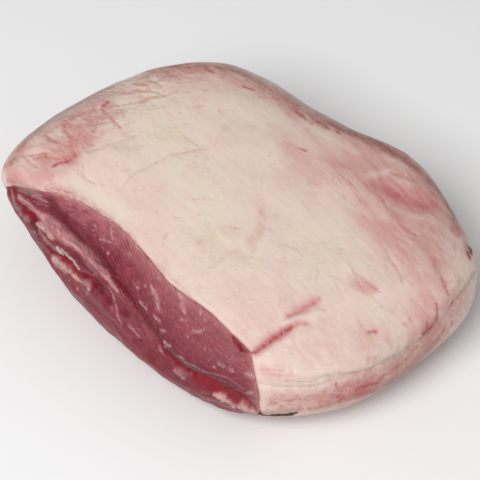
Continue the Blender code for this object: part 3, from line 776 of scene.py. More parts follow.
# Grey translucent skin, and grey painted shade under the fat's lip and at the lower left outline
LEAN_GREY = {
    "lip underside": (2.8, ((18, 186), (28, 189.5), (39.8, 195.7)), 0.9),
    "grey strip": (1.5, ((39.8, 228.9), (43.1, 234.7), (47.3, 241.3), (53.1, 246.3), (63, 254.6)), 0.9),
    "tag": (2.0, ((22.5, 217), (25.5, 220), (28.2, 221.4))),
    "end strip": (1.1, ((11.6, 189.1), (13.7, 196.6), (14.9, 203.2), (16.6, 209.8), (21.6, 216.5))),
    "blade": (0.9, ((16.6, 189.6), (22, 191.5), (28.2, 193.7)), 0.8),
    "strand a": (1.0, ((33.2, 200.7), (39, 203), (44.8, 204.9), (49, 207)), 0.7),
    "strand b": (0.8, ((82.9, 261.2), (89.5, 267), (96.2, 274.5)), 0.8),
    "outline": (1.4, ((33.2, 229.7), (36, 233)), 0.8),
    "foot edge": (1.5, ((199.9, 397.5), (213.6, 400.8), (226.3, 406.6), (242.3, 413.5)), 0.6),
}
# Shiny white tendon, partly a painted highlight along it, and painted glints on the fat lump and in the first hollow
LEAN_TENDON = {
    "tendon a": (0.9, ((56.4, 246.3), (59, 250), (63, 254.6)), 0.9),
    "tendon b": (0.85, ((60, 248), (66.3, 253.8), (71.3, 259.6), (76.3, 264.6), (80.5, 269.5))),
    "star": (1.1, ((57.2, 247.1),), 0.7),
    "glint": (1.0, ((44, 227), (48, 233)), 0.4),
    "glint_in_the_hollow": (0.9, ((26.5, 209.8),), 0.5),
}
# Painted light: the palest, mauve parts of the cut face, lightened where its slope turns it from the light, most at
# the upper left by the fat
LEAN_PAINTED_LIGHT = {
    "upper left": (11.0, ((60, 202), (78, 212), (98, 226), (118, 246)), 0.9),
    "along the fat": (7.0, ((118, 244), (140, 262), (160, 282), (182, 303), (206, 330)), 0.4),
    "by the left lip": (4.0, ((40, 200), (52, 204), (64, 212)), 0.5),
}
# Deep crimson hollows and wet red streaks
LEAN_CRIMSON = {
    "end streaks": (2.4, ((4.1, 183.3), (8.3, 189.9), (11, 197), (12.4, 202.4)), 0.9),
    "end streak b": (1.2, ((14.5, 188), (17, 196), (18.5, 203)), 0.8),
    "hollow one": (5.2, ((19, 208), (24.9, 213), (31, 216.5), (34.8, 220))),
    "hollow two": (4.6, ((83, 276), (90, 283.5), (94.5, 288.6)), 0.95),
    "lump a side": (0.9, ((45, 222), (49.8, 228), (54, 234), (58, 240.5), (59.7, 245.5)), 0.8),
    "under the tendon": (1.9, ((46.4, 246.3), (51.4, 251.3), (58, 256.3), (64.7, 258.7), (69.7, 262.9),
        (74.6, 268.7), (80, 275))),
    "membrane edge": (0.9, ((61.4, 221.4), (70.5, 230.6), (82.9, 240.5), (91.2, 249.6), (97, 256.5), (104.5, 264),
        (112, 275)), 0.8),
    "membrane lower edge": (1.0, ((70, 249.5), (79.6, 250.5), (86.2, 258.5), (91, 265), (99, 275.5)), 0.6),
    "foot": (4.8, ((189, 374.5), (198.7, 380.5), (210.2, 386.3), (224, 392), (235.4, 397), (246, 402.5))),
    "flap edge": (2.6, ((46.4, 254), (49.8, 262), (53.5, 269), (60, 276), (70, 285), (80, 295.5)), 0.8),
    "flap edge low": (2.2, ((80, 295.5), (92, 306), (103, 317.5), (115, 329), (130, 344), (147, 360),
        (165, 373.5)), 0.7),
    "beside lump b": (1.4, ((66, 272.5), (72, 278), (78, 283.5), (82, 289)), 0.8),
    "above lump b": (1.2, ((60, 258), (68, 263.5), (75, 269), (80, 275)), 0.8),
    "crease floor": (1.4, ((112.6, 277.9), (121.8, 288.2), (129.8, 299.7), (137.9, 313.5), (145.9, 326.1)), 0.8),
    "crease": (2.6, CREASE_IN_PICTURE, 0.8),
    "notch glow": (2.6, ((233.1, 336.4), (237.7, 343.3), (242.3, 350), (240, 352)), 0.9),
    "edge line": (0.9, ((136.7, 243.4), (143, 251), (151.7, 261.8)), 0.9),
}
# Painted shade: nearly black red in the crease, the hollows, the grooves, the notch, under the flap and by the foot,
# and a faint darkening of the low cut face and flap
LEAN_PAINTED_SHADE = {
    "above the membrane": (3.2, ((46, 200), (53.1, 204), (59.7, 212.3), (66.3, 219.8), (73, 228), (79.6, 234.7),
        (87.9, 243), (96.2, 251.3), (101.2, 259.6), (107.8, 266.2), (114.4, 274.5)), 0.55),
    "crease": (1.7, CREASE_IN_PICTURE, 0.8),
    "crease shade": (5.0, ((118, 280), (128, 291), (137, 303), (145, 316), (153, 329), (162, 341.5), (171, 352),
        (182, 361), (195, 368), (212, 375), (228, 384)), 0.6),
    "hollow one": (2.6, ((30.7, 221.4), (35.7, 226.4), (38.1, 232.2)), 0.9),
    "hollow two": (3.4, ((93.7, 277.8), (99.5, 285.3), (102.8, 293.6))),
    "outline bit": (1.3, ((34, 236.4), (37, 239), (40.6, 241.3))),
    "muscle by the tendon": (3.6, ((66.3, 249.5), (78.8, 257.3), (83.7, 264.6), (90, 272)), 0.5),
    "flap line": (1.1, ((139, 322), (143, 333), (146, 343)), 0.45),
    "flap underside": (2.4, ((88, 300), (100, 312), (112, 324), (125, 338), (140, 352), (155, 365), (170, 377),
        (185, 387)), 0.3),
    "notch": (1.8, ((234, 338), (239, 344), (244, 350.5), (249, 352)), 0.8),
    "foot dark": (1.6, ((191, 389), (198, 393.5), (204, 395.5)), 0.7),
    "slit start": (1.8, ((253, 411), (258, 414), (264, 415.8))),
    "low cut": (13.0, ((150, 312), (172, 336), (200, 356), (225, 372), (246, 388)), 0.2),
    "low flap": (9.0, ((150, 352), (168, 368), (188, 382), (210, 394)), 0.25),
}
LEAN_STROKES = {
    "painted_light": LEAN_PAINTED_LIGHT,
    "marbling": LEAN_MARBLING,
    "fat": LEAN_FAT,
    "membrane": LEAN_MEMBRANE,
    "grey": LEAN_GREY,
    "tendon": LEAN_TENDON,
    "crimson": LEAN_CRIMSON,
    "painted_shade": LEAN_PAINTED_SHADE,
}
LEAN_PAINT = (*LEAN_STROKES, "flap", "film", "rosy")

# Grooves and ridges in the lean meat
LEAN_RELIEF = {
    "lump a": (3.2, -0.0024, LEAN_FAT["lump a"][1]),
    "lump b": (3.6, -0.0020, LEAN_FAT["lump b"][1]),
    "lump b tail": (2.6, -0.0012, LEAN_FAT["lump b tail"][1]),
    "band start": (3.4, -0.0010, LEAN_MEMBRANE["band start"][1]),
    "band": (6.2, -0.0018, LEAN_MEMBRANE["band"][1]),
    "band middle": (5.0, -0.0015, LEAN_MEMBRANE["band middle"][1]),
    "band end": (4.6, -0.0012, LEAN_MEMBRANE["band end"][1]),
    "tendon": (1.4, -0.0009, LEAN_TENDON["tendon b"][1]),
    "grey strip": (1.8, -0.0009, LEAN_GREY["grey strip"][1]),
    "end strip": (1.5, -0.0008, LEAN_GREY["end strip"][1]),
    "lip underside": (3.0, 0.0010, LEAN_GREY["lip underside"][1]),
    "hollow one": (5.2, 0.0036, LEAN_CRIMSON["hollow one"][1]),
    "hollow two": (4.6, 0.0042, LEAN_CRIMSON["hollow two"][1]),
    "under the tendon": (2.2, 0.0020, LEAN_CRIMSON["under the tendon"][1]),
    "foot": (4.6, 0.0024, LEAN_CRIMSON["foot"][1]),
    "crease": (2.8, 0.0026, LEAN_PAINTED_SHADE["crease"][1]),
    "above the membrane": (4.6, 0.0022, LEAN_PAINTED_SHADE["above the membrane"][1]),
    "muscle by the tendon": (4.6, 0.0012, LEAN_PAINTED_SHADE["muscle by the tendon"][1]),
    "flap line": (1.5, -0.0006, LEAN_MARBLING["flap line"][1]),
    "flap line b": (1.5, -0.0005, LEAN_MARBLING["flap line b"][1]),
    "flap lump": (2.8, -0.0009, LEAN_MARBLING["flap lump"][1]),
    "flap groove": (2.6, 0.0009, LEAN_PAINTED_SHADE["flap line"][1]),
    "strip a": (2.8, -0.0017, LEAN_FAT["strip a"][1]),
    "strip b": (3.2, -0.0012, LEAN_FAT["strip b"][1]),
    "notch": (2.2, 0.0012, LEAN_PAINTED_SHADE["notch"][1]),
}


def smooth_step(values):
    t = np.clip(values, 0.0, 1.0)
    return t * t * (3.0 - 2.0 * t)


def turned(first, second, angle, reach, middle):
    """Turns points about an axis by an angle that is full at one bearing and fades to nothing at its reach."""
    bearing = np.degrees(np.arctan2(second, first))
    away = np.abs((bearing - middle + 180.0) % 360.0 - 180.0)
    bearing = np.radians(bearing + angle * smooth_step(1.0 - away / reach))
    distance = np.hypot(first, second)
    return distance * np.cos(bearing), distance * np.sin(bearing)


def moved_rows(w, row, place):
    """Spreads the rows of the block evenly again, after one of them has moved to another place."""
    below = -1.0 + (w + 1.0) * (place + 1.0) / (row + 1.0)
    above = 1.0 - (1.0 - w) * (1.0 - place) / (1.0 - row)
    return np.where(w < row, below, above)


def crease_line(along):
    """How high up the front the crease lies, from -1 at the foot to 1 at the fat."""
    return CREASE_MIDDLE - CREASE_SWING * np.tanh((along - CREASE_PLACE) / CREASE_LENGTH)


def follow_crease(cube):
    """Moves rows of the front, so that one of them runs along the crease."""
    u, v, w = cube.T
    share = np.where(v < -ON_SIDE, smooth_step((1.0 - np.abs(u)) / CREASE_ROW_FADE), 0.0)
    place = CREASE_ROW + (crease_line(u) - CREASE_ROW) * share
    return np.stack([u, v, moved_rows(w, CREASE_ROW, place)], axis=1)


def slope_left_edge(cube):
    """Moves rows of the block, so that the fat's edge on the left end slopes down to the foot at the back."""
    u, v, w = cube.T
    share = smooth_step((v + 1.0) / 2.0) * smooth_step(1.0 - (u + 1.0) / LEFT_FAT_EDGE_FADE)
    edge = LEFT_FAT_EDGE + (LEFT_FAT_EDGE_FOOT - LEFT_FAT_EDGE) * share
    return np.stack([u, v, moved_rows(w, LEFT_FAT_EDGE, edge)], axis=1)


def slide_front_edges(cube):
    """Turns the front of the block, so that its front edges come to lie where the fat ends."""
    u, v, w = cube.T
    drop = np.polynomial.polynomial.polyval(u, FAT_LINE) + np.interp(u, *zip(*FAT_LINE_WAVES))
    front, up = turned(-v, w, -drop, FAT_LINE_REACH, 45.0)
    turn = np.polynomial.polynomial.polyval(up, FRONT_RIGHT_TURN)
    right, back = turned(u, -front, turn, FRONT_RIGHT_REACH, -45.0)
    return np.stack([right, back, up], axis=1)


def meat_form(cube):
    """The smooth outer form of the meat, from places on the block."""
    slid = slide_front_edges(slope_left_edge(cube))
    u, v, w = np.abs(slid).T
    plan = (u**PLAN_ROUNDNESS + v**PLAN_ROUNDNESS) ** (1.0 / PLAN_ROUNDNESS)
    size = (plan**SIDE_ROUNDNESS + w**SIDE_ROUNDNESS) ** (1.0 / SIDE_ROUNDNESS)
    along, across, up = (slid / size[:, None]).T
    rise = 1.0 + CROWN_FALL_ALONG * along + CROWN_FALL_ACROSS * across
    rise += CROWN_ARCH_ALONG * along**2 + CROWN_ARCH_ACROSS * across**2
    below = np.maximum(0.0, GIRTH_HEIGHT * (1.0 + FOOT_PRESS * up))
    height = np.where(up > 0.0, GIRTH_HEIGHT + CROWN_RISE * rise * up, below)
    depth = HALF_WIDTH * across * (1.0 + WIDEN * along) + SKEW_WIDTH * HALF_LENGTH * along
    length = HALF_LENGTH * along + SKEW_LENGTH * depth
    points = np.stack([length, depth, height], axis=1)
    for centre, reach, move in PULLS.values():
        distance = np.linalg.norm(points - centre, axis=1)
        moves = np.exp(-0.5 * (distance / reach) ** 2)[:, None] * np.array(move)
        moves[:, 2] *= smooth_step(points[:, 2] / FOOT_HEIGHT)
        points += moves
    points[:, 2] = np.maximum(points[:, 2], 0.0)
    points[:, :2] -= MIDDLE
    return points


def front_depth(along, up):
    """How far the lean front lies inside the outer form."""
    crease = crease_line(along)
    above = up - crease
    reach = np.exp(-(((along - DEEP_PLACE) / DEEP_REACH) ** 2))
    deepest = CREASE_SHALLOW + (CREASE_DEEP - CREASE_SHALLOW) * reach
    descent = np.clip((1.0 - up) / (1.0 - crease), 0.0, 1.0)
    cut = FAT_EDGE + (deepest - FAT_EDGE) * descent**CUT_HOLLOW
    flap = deepest * (1.0 - smooth_step(-above / FLAP_RISE))
    depth = np.where(above > 0.0, cut, flap)
    for place, height, half_length, half_height, amount in FOLDS:
        spread = ((along - place) / half_length) ** 2 + ((up - height) / half_height) ** 2
        depth += amount * np.exp(-spread)
    edge = np.minimum(1.0 - np.abs(along), 1.0 - up)
    inside = smooth_step(edge / FLAP_FADE)
    foot = smooth_step((1.0 + up) / FLAP_FADE)
    return (FAT_EDGE + (depth - FAT_EDGE) * inside) * foot


def from_fat_edge(cube):
    """How far a place in the fat is from the fat's edge, on the block: from the front, the foot and the left edge."""
    u, v, w = cube.T
    from_front = np.where(v < 1.0, 1.0 + v, FAR_OFF)
    from_left_edge = np.where(u < -ON_SIDE, w - LEFT_FAT_EDGE, FAR_OFF)
    return np.minimum(np.minimum(from_front, 1.0 + w), from_left_edge)


def fat_depth(cube):
    """How thick the fat is: thin at its edges, full away from them."""
    return FAT_EDGE + (FAT_THICKNESS - FAT_EDGE) * smooth_step(from_fat_edge(cube) / FAT_TAPER)


def is_covered(centres):
    """True where a face of the block, given by its centre, is covered with fat."""
    u, v, w = centres.T
    return np.where(u < -FACE_ON_SIDE, w > LEFT_FAT_EDGE, centres.max(axis=1) > FACE_ON_SIDE)


def noise_at(points, size, octaves=1):
    """Soft noise from about -1 to 1, whose bumps are about as big as size."""
    values = np.zeros(len(points))
    strength = 1.0
    for octave in range(octaves):
        places = points * (2.0**octave / size) + OCTAVE_SHIFT * octave
        values += strength * np.array([noise.noise(Vector(place)) for place in places])
        strength *= 0.5
    return values


def view_axes():
    """Where the camera is, and its right, up and back directions."""
    azimuth, elevation = np.radians(VIEW_AZIMUTH), np.radians(VIEW_ELEVATION)
    level = np.cos(elevation)
    back = np.array([np.sin(azimuth) * level, -np.cos(azimuth) * level, np.sin(elevation)])
    right = np.array([np.cos(azimuth), np.sin(azimuth), 0.0])
    up = np.cross(back, right)
    target = np.array(VIEW_TARGET) + VIEW_SHIFT_RIGHT * right + VIEW_SHIFT_UP * up
    return target + VIEW_DISTANCE * back, right, up, back


def place_in_picture(points, normals):
    """Where points show in the picture, in pixels, and how squarely they face the camera, from 0 to 1."""
    camera, right, up, back = view_axes()
    away = points - camera
    distance = -(away @ back)
    across = PICTURE_SIZE / 2.0 + FOCAL_PIXELS * (away @ right) / distance
    down = PICTURE_SIZE / 2.0 - FOCAL_PIXELS * (away @ up) / distance
    facing = -(away * normals).sum(axis=1) / np.linalg.norm(away, axis=1)
    return np.stack([across, down], axis=1), smooth_step(facing / FACING_FADE)


def near_line(pixels, width, line):
    """1 on a line in the picture, fading away over its half width, and thinner towards its ends."""
    line = np.array(line, float)
    if len(line) == 1:
        line = np.concatenate([line - SPOT_DASH, line + SPOT_DASH])
    reach = LINE_REACH * width
    near = np.all((pixels > line.min(axis=0) - reach) & (pixels < line.max(axis=0) + reach), axis=1)
    spots = pixels[near]
    steps = np.linalg.norm(np.diff(line, axis=0), axis=1)
    starts = np.concatenate([[0.0], np.cumsum(steps)])
    best, travelled = np.full(len(spots), np.inf), np.zeros(len(spots))
    for start, end, step, before in zip(line, line[1:], steps, starts):
        share = np.clip(((spots - start) @ (end - start)) / step**2, 0.0, 1.0)
        distance = np.linalg.norm(spots - start - share[:, None] * (end - start), axis=1)
        closer = distance < best
        best[closer] = distance[closer]
        travelled[closer] = (before + share * step)[closer]
    progress = travelled / starts[-1]
    bow = np.sqrt(np.clip(4.0 * progress * (1.0 - progress), 0.0, 1.0))
    taper = LINE_END_WIDTH + (1.0 - LINE_END_WIDTH) * bow
    unevenness = LINE_SWELL * np.clip(2.0 - width / LINE_SWELL_WIDTH, 0.0, 1.0)
    fast, slow = (np.sin(pace * travelled + start) for pace, start in zip(LINE_SWELL_PACES, line[0]))
    swell = 1.0 + unevenness * fast * slow
    mask = np.zeros(len(pixels))
    mask[near] = np.exp(-((best / (width * taper * swell)) ** 2))
    return mask


def painted(pixels, facing, strokes):
    """How strongly a set of lines covers each point, from 0 to 1."""
    cover = np.zeros(len(pixels))
    for width, line, *strength in strokes.values():
        cover = np.maximum(cover, near_line(pixels, width, line) * (strength[0] if strength else 1.0))
    return cover * facing


def carved(pixels, shift, facing, grooves):
    """How deep a set of grooves goes at each point, in metres. Only the narrow ones waver."""
    depth = np.zeros(len(pixels))
    for width, amount, line in grooves.values():
        wavers = width < WIDE_GROOVE
        depth += amount * near_line(pixels + shift * wavers, width, line)
    return depth * facing


def wandering(points, size):
    """A shift in the picture, in pixels, that makes painted lines waver."""
    across = noise_at(points, size, 3)
    down = noise_at(points + DOWN_SHIFT, size, 3)
    return WANDER * np.stack([across, down], axis=1)


def kept_in_box(points):
    """Moves the few points that would stand outside the CAD box back to it."""
    low, high = (np.array(corner) for corner in CAD_BOX)
    low[:2] += BOX_MARGIN
    return np.clip(points, low, high - BOX_MARGIN)


def values_of(items, name, width=1, kind=float):
    """A value, or a row of them, for each of a mesh's vertices, edges, faces, corners or stored values."""
    values = np.empty(width * len(items), kind)
    items.foreach_get(name, values)
    return values.reshape(-1, width) if width > 1 else values


def coordinates(mesh):
    return values_of(mesh.vertices, "co", 3)


def corner_vertices(mesh):
    return values_of(mesh.loops, "vertex_index", kind=int)


def move_to(mesh, points):
    mesh.vertices.foreach_set("co", np.ascontiguousarray(points, np.float32).ravel())
    mesh.update()


def face_centres(mesh):
    return values_of(mesh.polygons, "center", 3)


def surface_normals(mesh, faces):
    """The normal at each vertex, from those faces alone."""
    weighed = values_of(mesh.polygons, "normal", 3) * (values_of(mesh.polygons, "area") * faces)[:, None]
    totals = values_of(mesh.polygons, "loop_total", kind=int)
    sums = np.zeros((len(mesh.vertices), 3))
    np.add.at(sums, corner_vertices(mesh), np.repeat(weighed, totals, axis=0))
    return sums / np.maximum(np.linalg.norm(sums, axis=1), 1e-12)[:, None]


def keep_value(mesh, name, values):
    """Stores a number at each vertex, for the material to read."""
    attribute = mesh.attributes.get(name) or mesh.attributes.new(name, "FLOAT", "POINT")
    attribute.data.foreach_set("value", np.ascontiguousarray(values, np.float32))


def keep_places(mesh, places):
    attribute = mesh.attributes.get("place") or mesh.attributes.new("place", "FLOAT_VECTOR", "POINT")
    attribute.data.foreach_set("vector", np.ascontiguousarray(places, np.float32).ravel())


def kept_places(mesh):
    return values_of(mesh.attributes["place"].data, "vector", 3, np.float32).astype(float)


def select_only(mesh, kind, chosen):
    """Selects some of a mesh's faces or edges, and nothing else. Leaves the object in edit mode."""
    bpy.ops.object.mode_set(mode="EDIT")
    bpy.ops.mesh.select_mode(type=kind)
    bpy.ops.mesh.select_all(action="DESELECT")
    bpy.ops.object.mode_set(mode="OBJECT")
    items = mesh.polygons if kind == "FACE" else mesh.edges
    items.foreach_set("select", np.ascontiguousarray(chosen, bool))
    bpy.ops.object.mode_set(mode="EDIT")


def cut_faces(mesh, chosen, cuts):
    """Cuts the chosen faces into smaller ones."""
    select_only(mesh, "FACE", chosen)
    bpy.ops.mesh.subdivide(number_cuts=cuts)
    bpy.ops.object.mode_set(mode="OBJECT")


def sliced_block(name):
    """A cube from -1 to 1, sliced into rows and columns."""
    bpy.ops.object.select_all(action="DESELECT")
    bpy.ops.mesh.primitive_cube_add(size=2.0)
    block = bpy.context.object
    block.name = block.data.name = name
    mesh = block.data
    for axis, count in enumerate((COLUMNS, DEPTH_ROWS, HEIGHT_ROWS)):
        first, second = coordinates(mesh)[values_of(mesh.edges, "vertices", 2, int)].swapaxes(0, 1)
        select_only(mesh, "EDGE", np.abs(first - second)[:, axis] > WHOLE_SIDE)
        bpy.ops.mesh.subdivide(number_cuts=count - 1)
        bpy.ops.object.mode_set(mode="OBJECT")
    return block


def centres_on_block(mesh):
    """The centre of each face on the block, from the places that its vertices remember."""
    shape = coordinates(mesh)
    places = kept_places(mesh)
    move_to(mesh, places)
    centres = face_centres(mesh)
    move_to(mesh, shape)
    return centres


def drop_slivers(mesh):
    """Splits the faces into triangles, and deletes those that lie flat on each other along a border."""
    bpy.ops.object.mode_set(mode="EDIT")
    bpy.ops.mesh.select_all(action="SELECT")
    bpy.ops.mesh.quads_convert_to_tris(quad_method="FIXED", ngon_method="CLIP")
    bpy.ops.object.mode_set(mode="OBJECT")
    sides = values_of(mesh.loops, "edge_index", kind=int)
    faces_met = np.bincount(sides, minlength=len(mesh.edges))
    select_only(mesh, "FACE", (faces_met[sides].reshape(-1, 3) == 1).any(axis=1))
    bpy.ops.mesh.delete(type="FACE")
    bpy.ops.object.mode_set(mode="OBJECT")


def finish_piece(piece, material, node):
    mesh = piece.data
    drop_slivers(mesh)
    mesh.materials.clear()
    mesh.materials.append(material)
    bpy.ops.object.select_all(action="DESELECT")
    piece.select_set(True)
    bpy.context.view_layer.objects.active = piece
    bpy.ops.object.mode_set(mode="EDIT")
    bpy.ops.mesh.select_all(action="SELECT")
    bpy.ops.mesh.normals_make_consistent(inside=False)
    bpy.ops.object.mode_set(mode="OBJECT")
    bpy.ops.object.shade_smooth()
    piece.vertex_groups.clear()
    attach(piece, "root")
    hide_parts(node)


# The nodes of the materials


def add_node(tree, kind, links=None, **settings):
    made = tree.nodes.new(kind)
    for name, value in settings.items():
        setattr(made, name, value)
    for key, value in (links or {}).items():
        if isinstance(value, bpy.types.NodeSocket):
            tree.links.new(value, made.inputs[key])
        else:
            made.inputs[key].default_value = value
    return made


def painted_value(tree, name):
    return add_node(tree, "ShaderNodeAttribute", attribute_name=name).outputs["Fac"]


def soft_noise(tree, where, reach, detail, roughness, distortion=0.0, turn=0.0):
    """Noise of one scale, or drawn out to these lengths and turned about the vertical."""
    scale = reach
    if isinstance(reach, tuple):
        links = {"Vector": where, "Scale": reach, "Rotation": (0.0, 0.0, turn)}
        where = add_node(tree, "ShaderNodeMapping", links, vector_type="TEXTURE").outputs[0]
        scale = 1.0
    links = {"Vector": where, "Scale": scale, "Detail": detail, "Roughness": roughness, "Distortion": distortion}
    return add_node(tree, "ShaderNodeTexNoise", links).outputs["Fac"]


def all_patterns(tree, where, patterns):
    return {name: soft_noise(tree, where, *pattern) for name, pattern in patterns.items()}


def between(tree, value, low, high, start=0.0, end=1.0):
    """Maps a value smoothly, so that low gives start and high gives end."""
    links = {0: value, 1: low, 2: high, 3: start, 4: end}
    return add_node(tree, "ShaderNodeMapRange", links, interpolation_type="SMOOTHSTEP").outputs[0]


def calculate(tree, operation, first, second=0.0, clamp=False):
    return add_node(tree, "ShaderNodeMath", {0: first, 1: second}, operation=operation, use_clamp=clamp).outputs[0]


def times(tree, value, *others):
    for other in others:
        value = calculate(tree, "MULTIPLY", value, other)
    return value


def mixed(tree, share, first, second):
    """One colour painted over another."""
    links = {"Factor": share, 6: first, 7: second}
    return add_node(tree, "ShaderNodeMix", links, data_type="RGBA").outputs[2]


def worn(tree, value, breaker, least):
    """A value that noise wears away in places, down to the least share of it."""
    return times(tree, value, between(tree, breaker, WORN_FROM, WORN_TO, least, 1.0))


def coat(tree, value, breaker, least, strength):
    """The share that a worn coat of paint covers."""
    return times(tree, worn(tree, value, breaker, least), strength)


def layered(tree, colour, layers):
    """Colours painted one over another, each with the share that it covers."""
    for share, over in layers:
        colour = mixed(tree, share, colour, over if isinstance(over, bpy.types.NodeSocket) else colour4(over))
    return colour


def colour4(colour):
    return (*colour, 1.0)


def new_material(name):
    material = bpy.data.materials.new(name)
    material.use_nodes = True
    tree = material.node_tree
    shader = tree.nodes["Principled BSDF"]
    coordinates = add_node(tree, "ShaderNodeTexCoord").outputs["Object"]
    return material, tree, shader, coordinates


def thin_lines(tree, value, width):
    """1 along the thin lines where a noise crosses its middle."""
    away = calculate(tree, "ABSOLUTE", calculate(tree, "SUBTRACT", value, 0.5))
    return between(tree, away, 0.0, width, 1.0, 0.0)


def let_light_in(shader, share, reach, scale):
    shader.inputs["Subsurface Weight"].default_value = share
    shader.inputs["Subsurface Radius"].default_value = reach
    shader.inputs["Subsurface Scale"].default_value = scale


def set_bump(tree, shader, patterns, bumps):
    """Stacks bump layers, each a pattern and its height in metres."""
    normal = None
    for name, distance in bumps.items():
        links = {"Height": patterns[name], "Distance": distance, "Strength": 1.0}
        if normal is not None:
            links["Normal"] = normal
        normal = add_node(tree, "ShaderNodeBump", links).outputs[0]
    tree.links.new(normal, shader.inputs["Normal"])


def fat_material(looks):
    material, tree, shader, where = new_material("moist beef fat")
    patterns = all_patterns(tree, where, FAT_PATTERNS)
    broad, medium, fine, threads, ragged, wisps, hairs, web, net, crazing = patterns.values()
    threads = thin_lines(tree, threads, 0.014)
    painted_by = {name: painted_value(tree, name) for name in FAT_PAINT}
    streaky, in_web, blood, painted_shade = (painted_by[name] for name in ("streaky", "web", "blood", "painted_shade"))
    low = worn(tree, painted_by["low"], wisps, 0.6)

    base = mixed(tree, between(tree, medium, 0.35, 0.68), colour4(looks.pale), colour4(looks.pink_white))
    colour = layered(tree, base, [
        (times(tree, between(tree, broad, 0.50, 0.66), 0.5), looks.blush_light),
        (worn(tree, painted_by["cream"], medium, 0.45), looks.cream),
        (times(tree, between(tree, broad, 0.49, 0.34), painted_by["cream"], 0.85), looks.yellow),
        # Browner tone and painted shade low down
        (times(tree, low, 0.75), looks.low),
        # Ruddy thin fat, and ruddy painted shade along the outlines and under the seam
        (coat(tree, painted_by["ruddy"], wisps, 0.45, 0.85), looks.ruddy),
        (coat(tree, painted_by["blush"], wisps, 0.35, 0.85), looks.blush),
        (coat(tree, painted_by["flush"], hairs, 0.6, 0.9), looks.flush),
        (times(tree, between(tree, hairs, 0.48, 0.70), painted_by["ruddy"], 0.75), looks.vein),
        (times(tree, between(tree, wisps, 0.53, 0.78), streaky, 0.55), looks.blush),
        (times(tree, between(tree, hairs, 0.60, 0.80), streaky, 0.36), looks.vein),
        (times(tree, between(tree, web, 0.52, 0.70), in_web, 0.75), looks.vein),
        (times(tree, between(tree, web, 0.46, 0.32), in_web, 0.4), looks.skin),
        (times(tree, thin_lines(tree, net, 0.022), in_web, 0.6), looks.vein),
        (times(tree, threads, between(tree, broad, 0.47, 0.62), 0.2), looks.vein),
        (times(tree, thin_lines(tree, crazing, 0.012), between(tree, broad, 0.56, 0.40), 0.3), looks.crack),
        # Grey creases and skin, and grey painted shade at the outline
        (coat(tree, painted_by["grey"], fine, 0.5, 0.75), looks.grey),
        (coat(tree, painted_by["crack"], fine, 0.3, 0.75), looks.crack),
        # Pale skin, and painted highlights on the ridges by the gash and a glint
        (coat(tree, painted_by["pale"], fine, 0.5, 0.8), looks.skin),
        (coat(tree, painted_by["edge"], fine, 0.5, 0.6), looks.edge),
        (coat(tree, painted_by["meat"], ragged, 0.25, 0.85), looks.meat),
        # Dark red brown painted shade along the outlines
        (coat(tree, painted_by["rim"], ragged, 0.5, 0.85), looks.rim),
        (coat(tree, painted_by["vein"], ragged, 0.25, 0.75), looks.vein),
        (coat(tree, between(tree, blood, 0.0, 0.9), ragged, 0.45, 0.75), looks.vein),
        (coat(tree, between(tree, blood, 0.25, 1.0), ragged, 0.15, 0.85), looks.blood),
        # Painted shadow at the outline and under the fat's edge
        (between(tree, painted_shade, 0.12, 1.0), looks.painted_shade),
    ])
    tree.links.new(colour, shader.inputs["Base Color"])
    tree.links.new(between(tree, fine, 0.3, 0.7, 0.36, 0.54), shader.inputs["Roughness"])
    tree.links.new(between(tree, painted_shade, 0.0, 0.5, 0.3, 0.02), shader.inputs["Specular IOR Level"])
    let_light_in(shader, *FAT_DEPTH_OF_LIGHT)
    patterns["wrinkles"] = times(tree, web, in_web)
    set_bump(tree, shader, patterns, FAT_BUMPS)
    return material


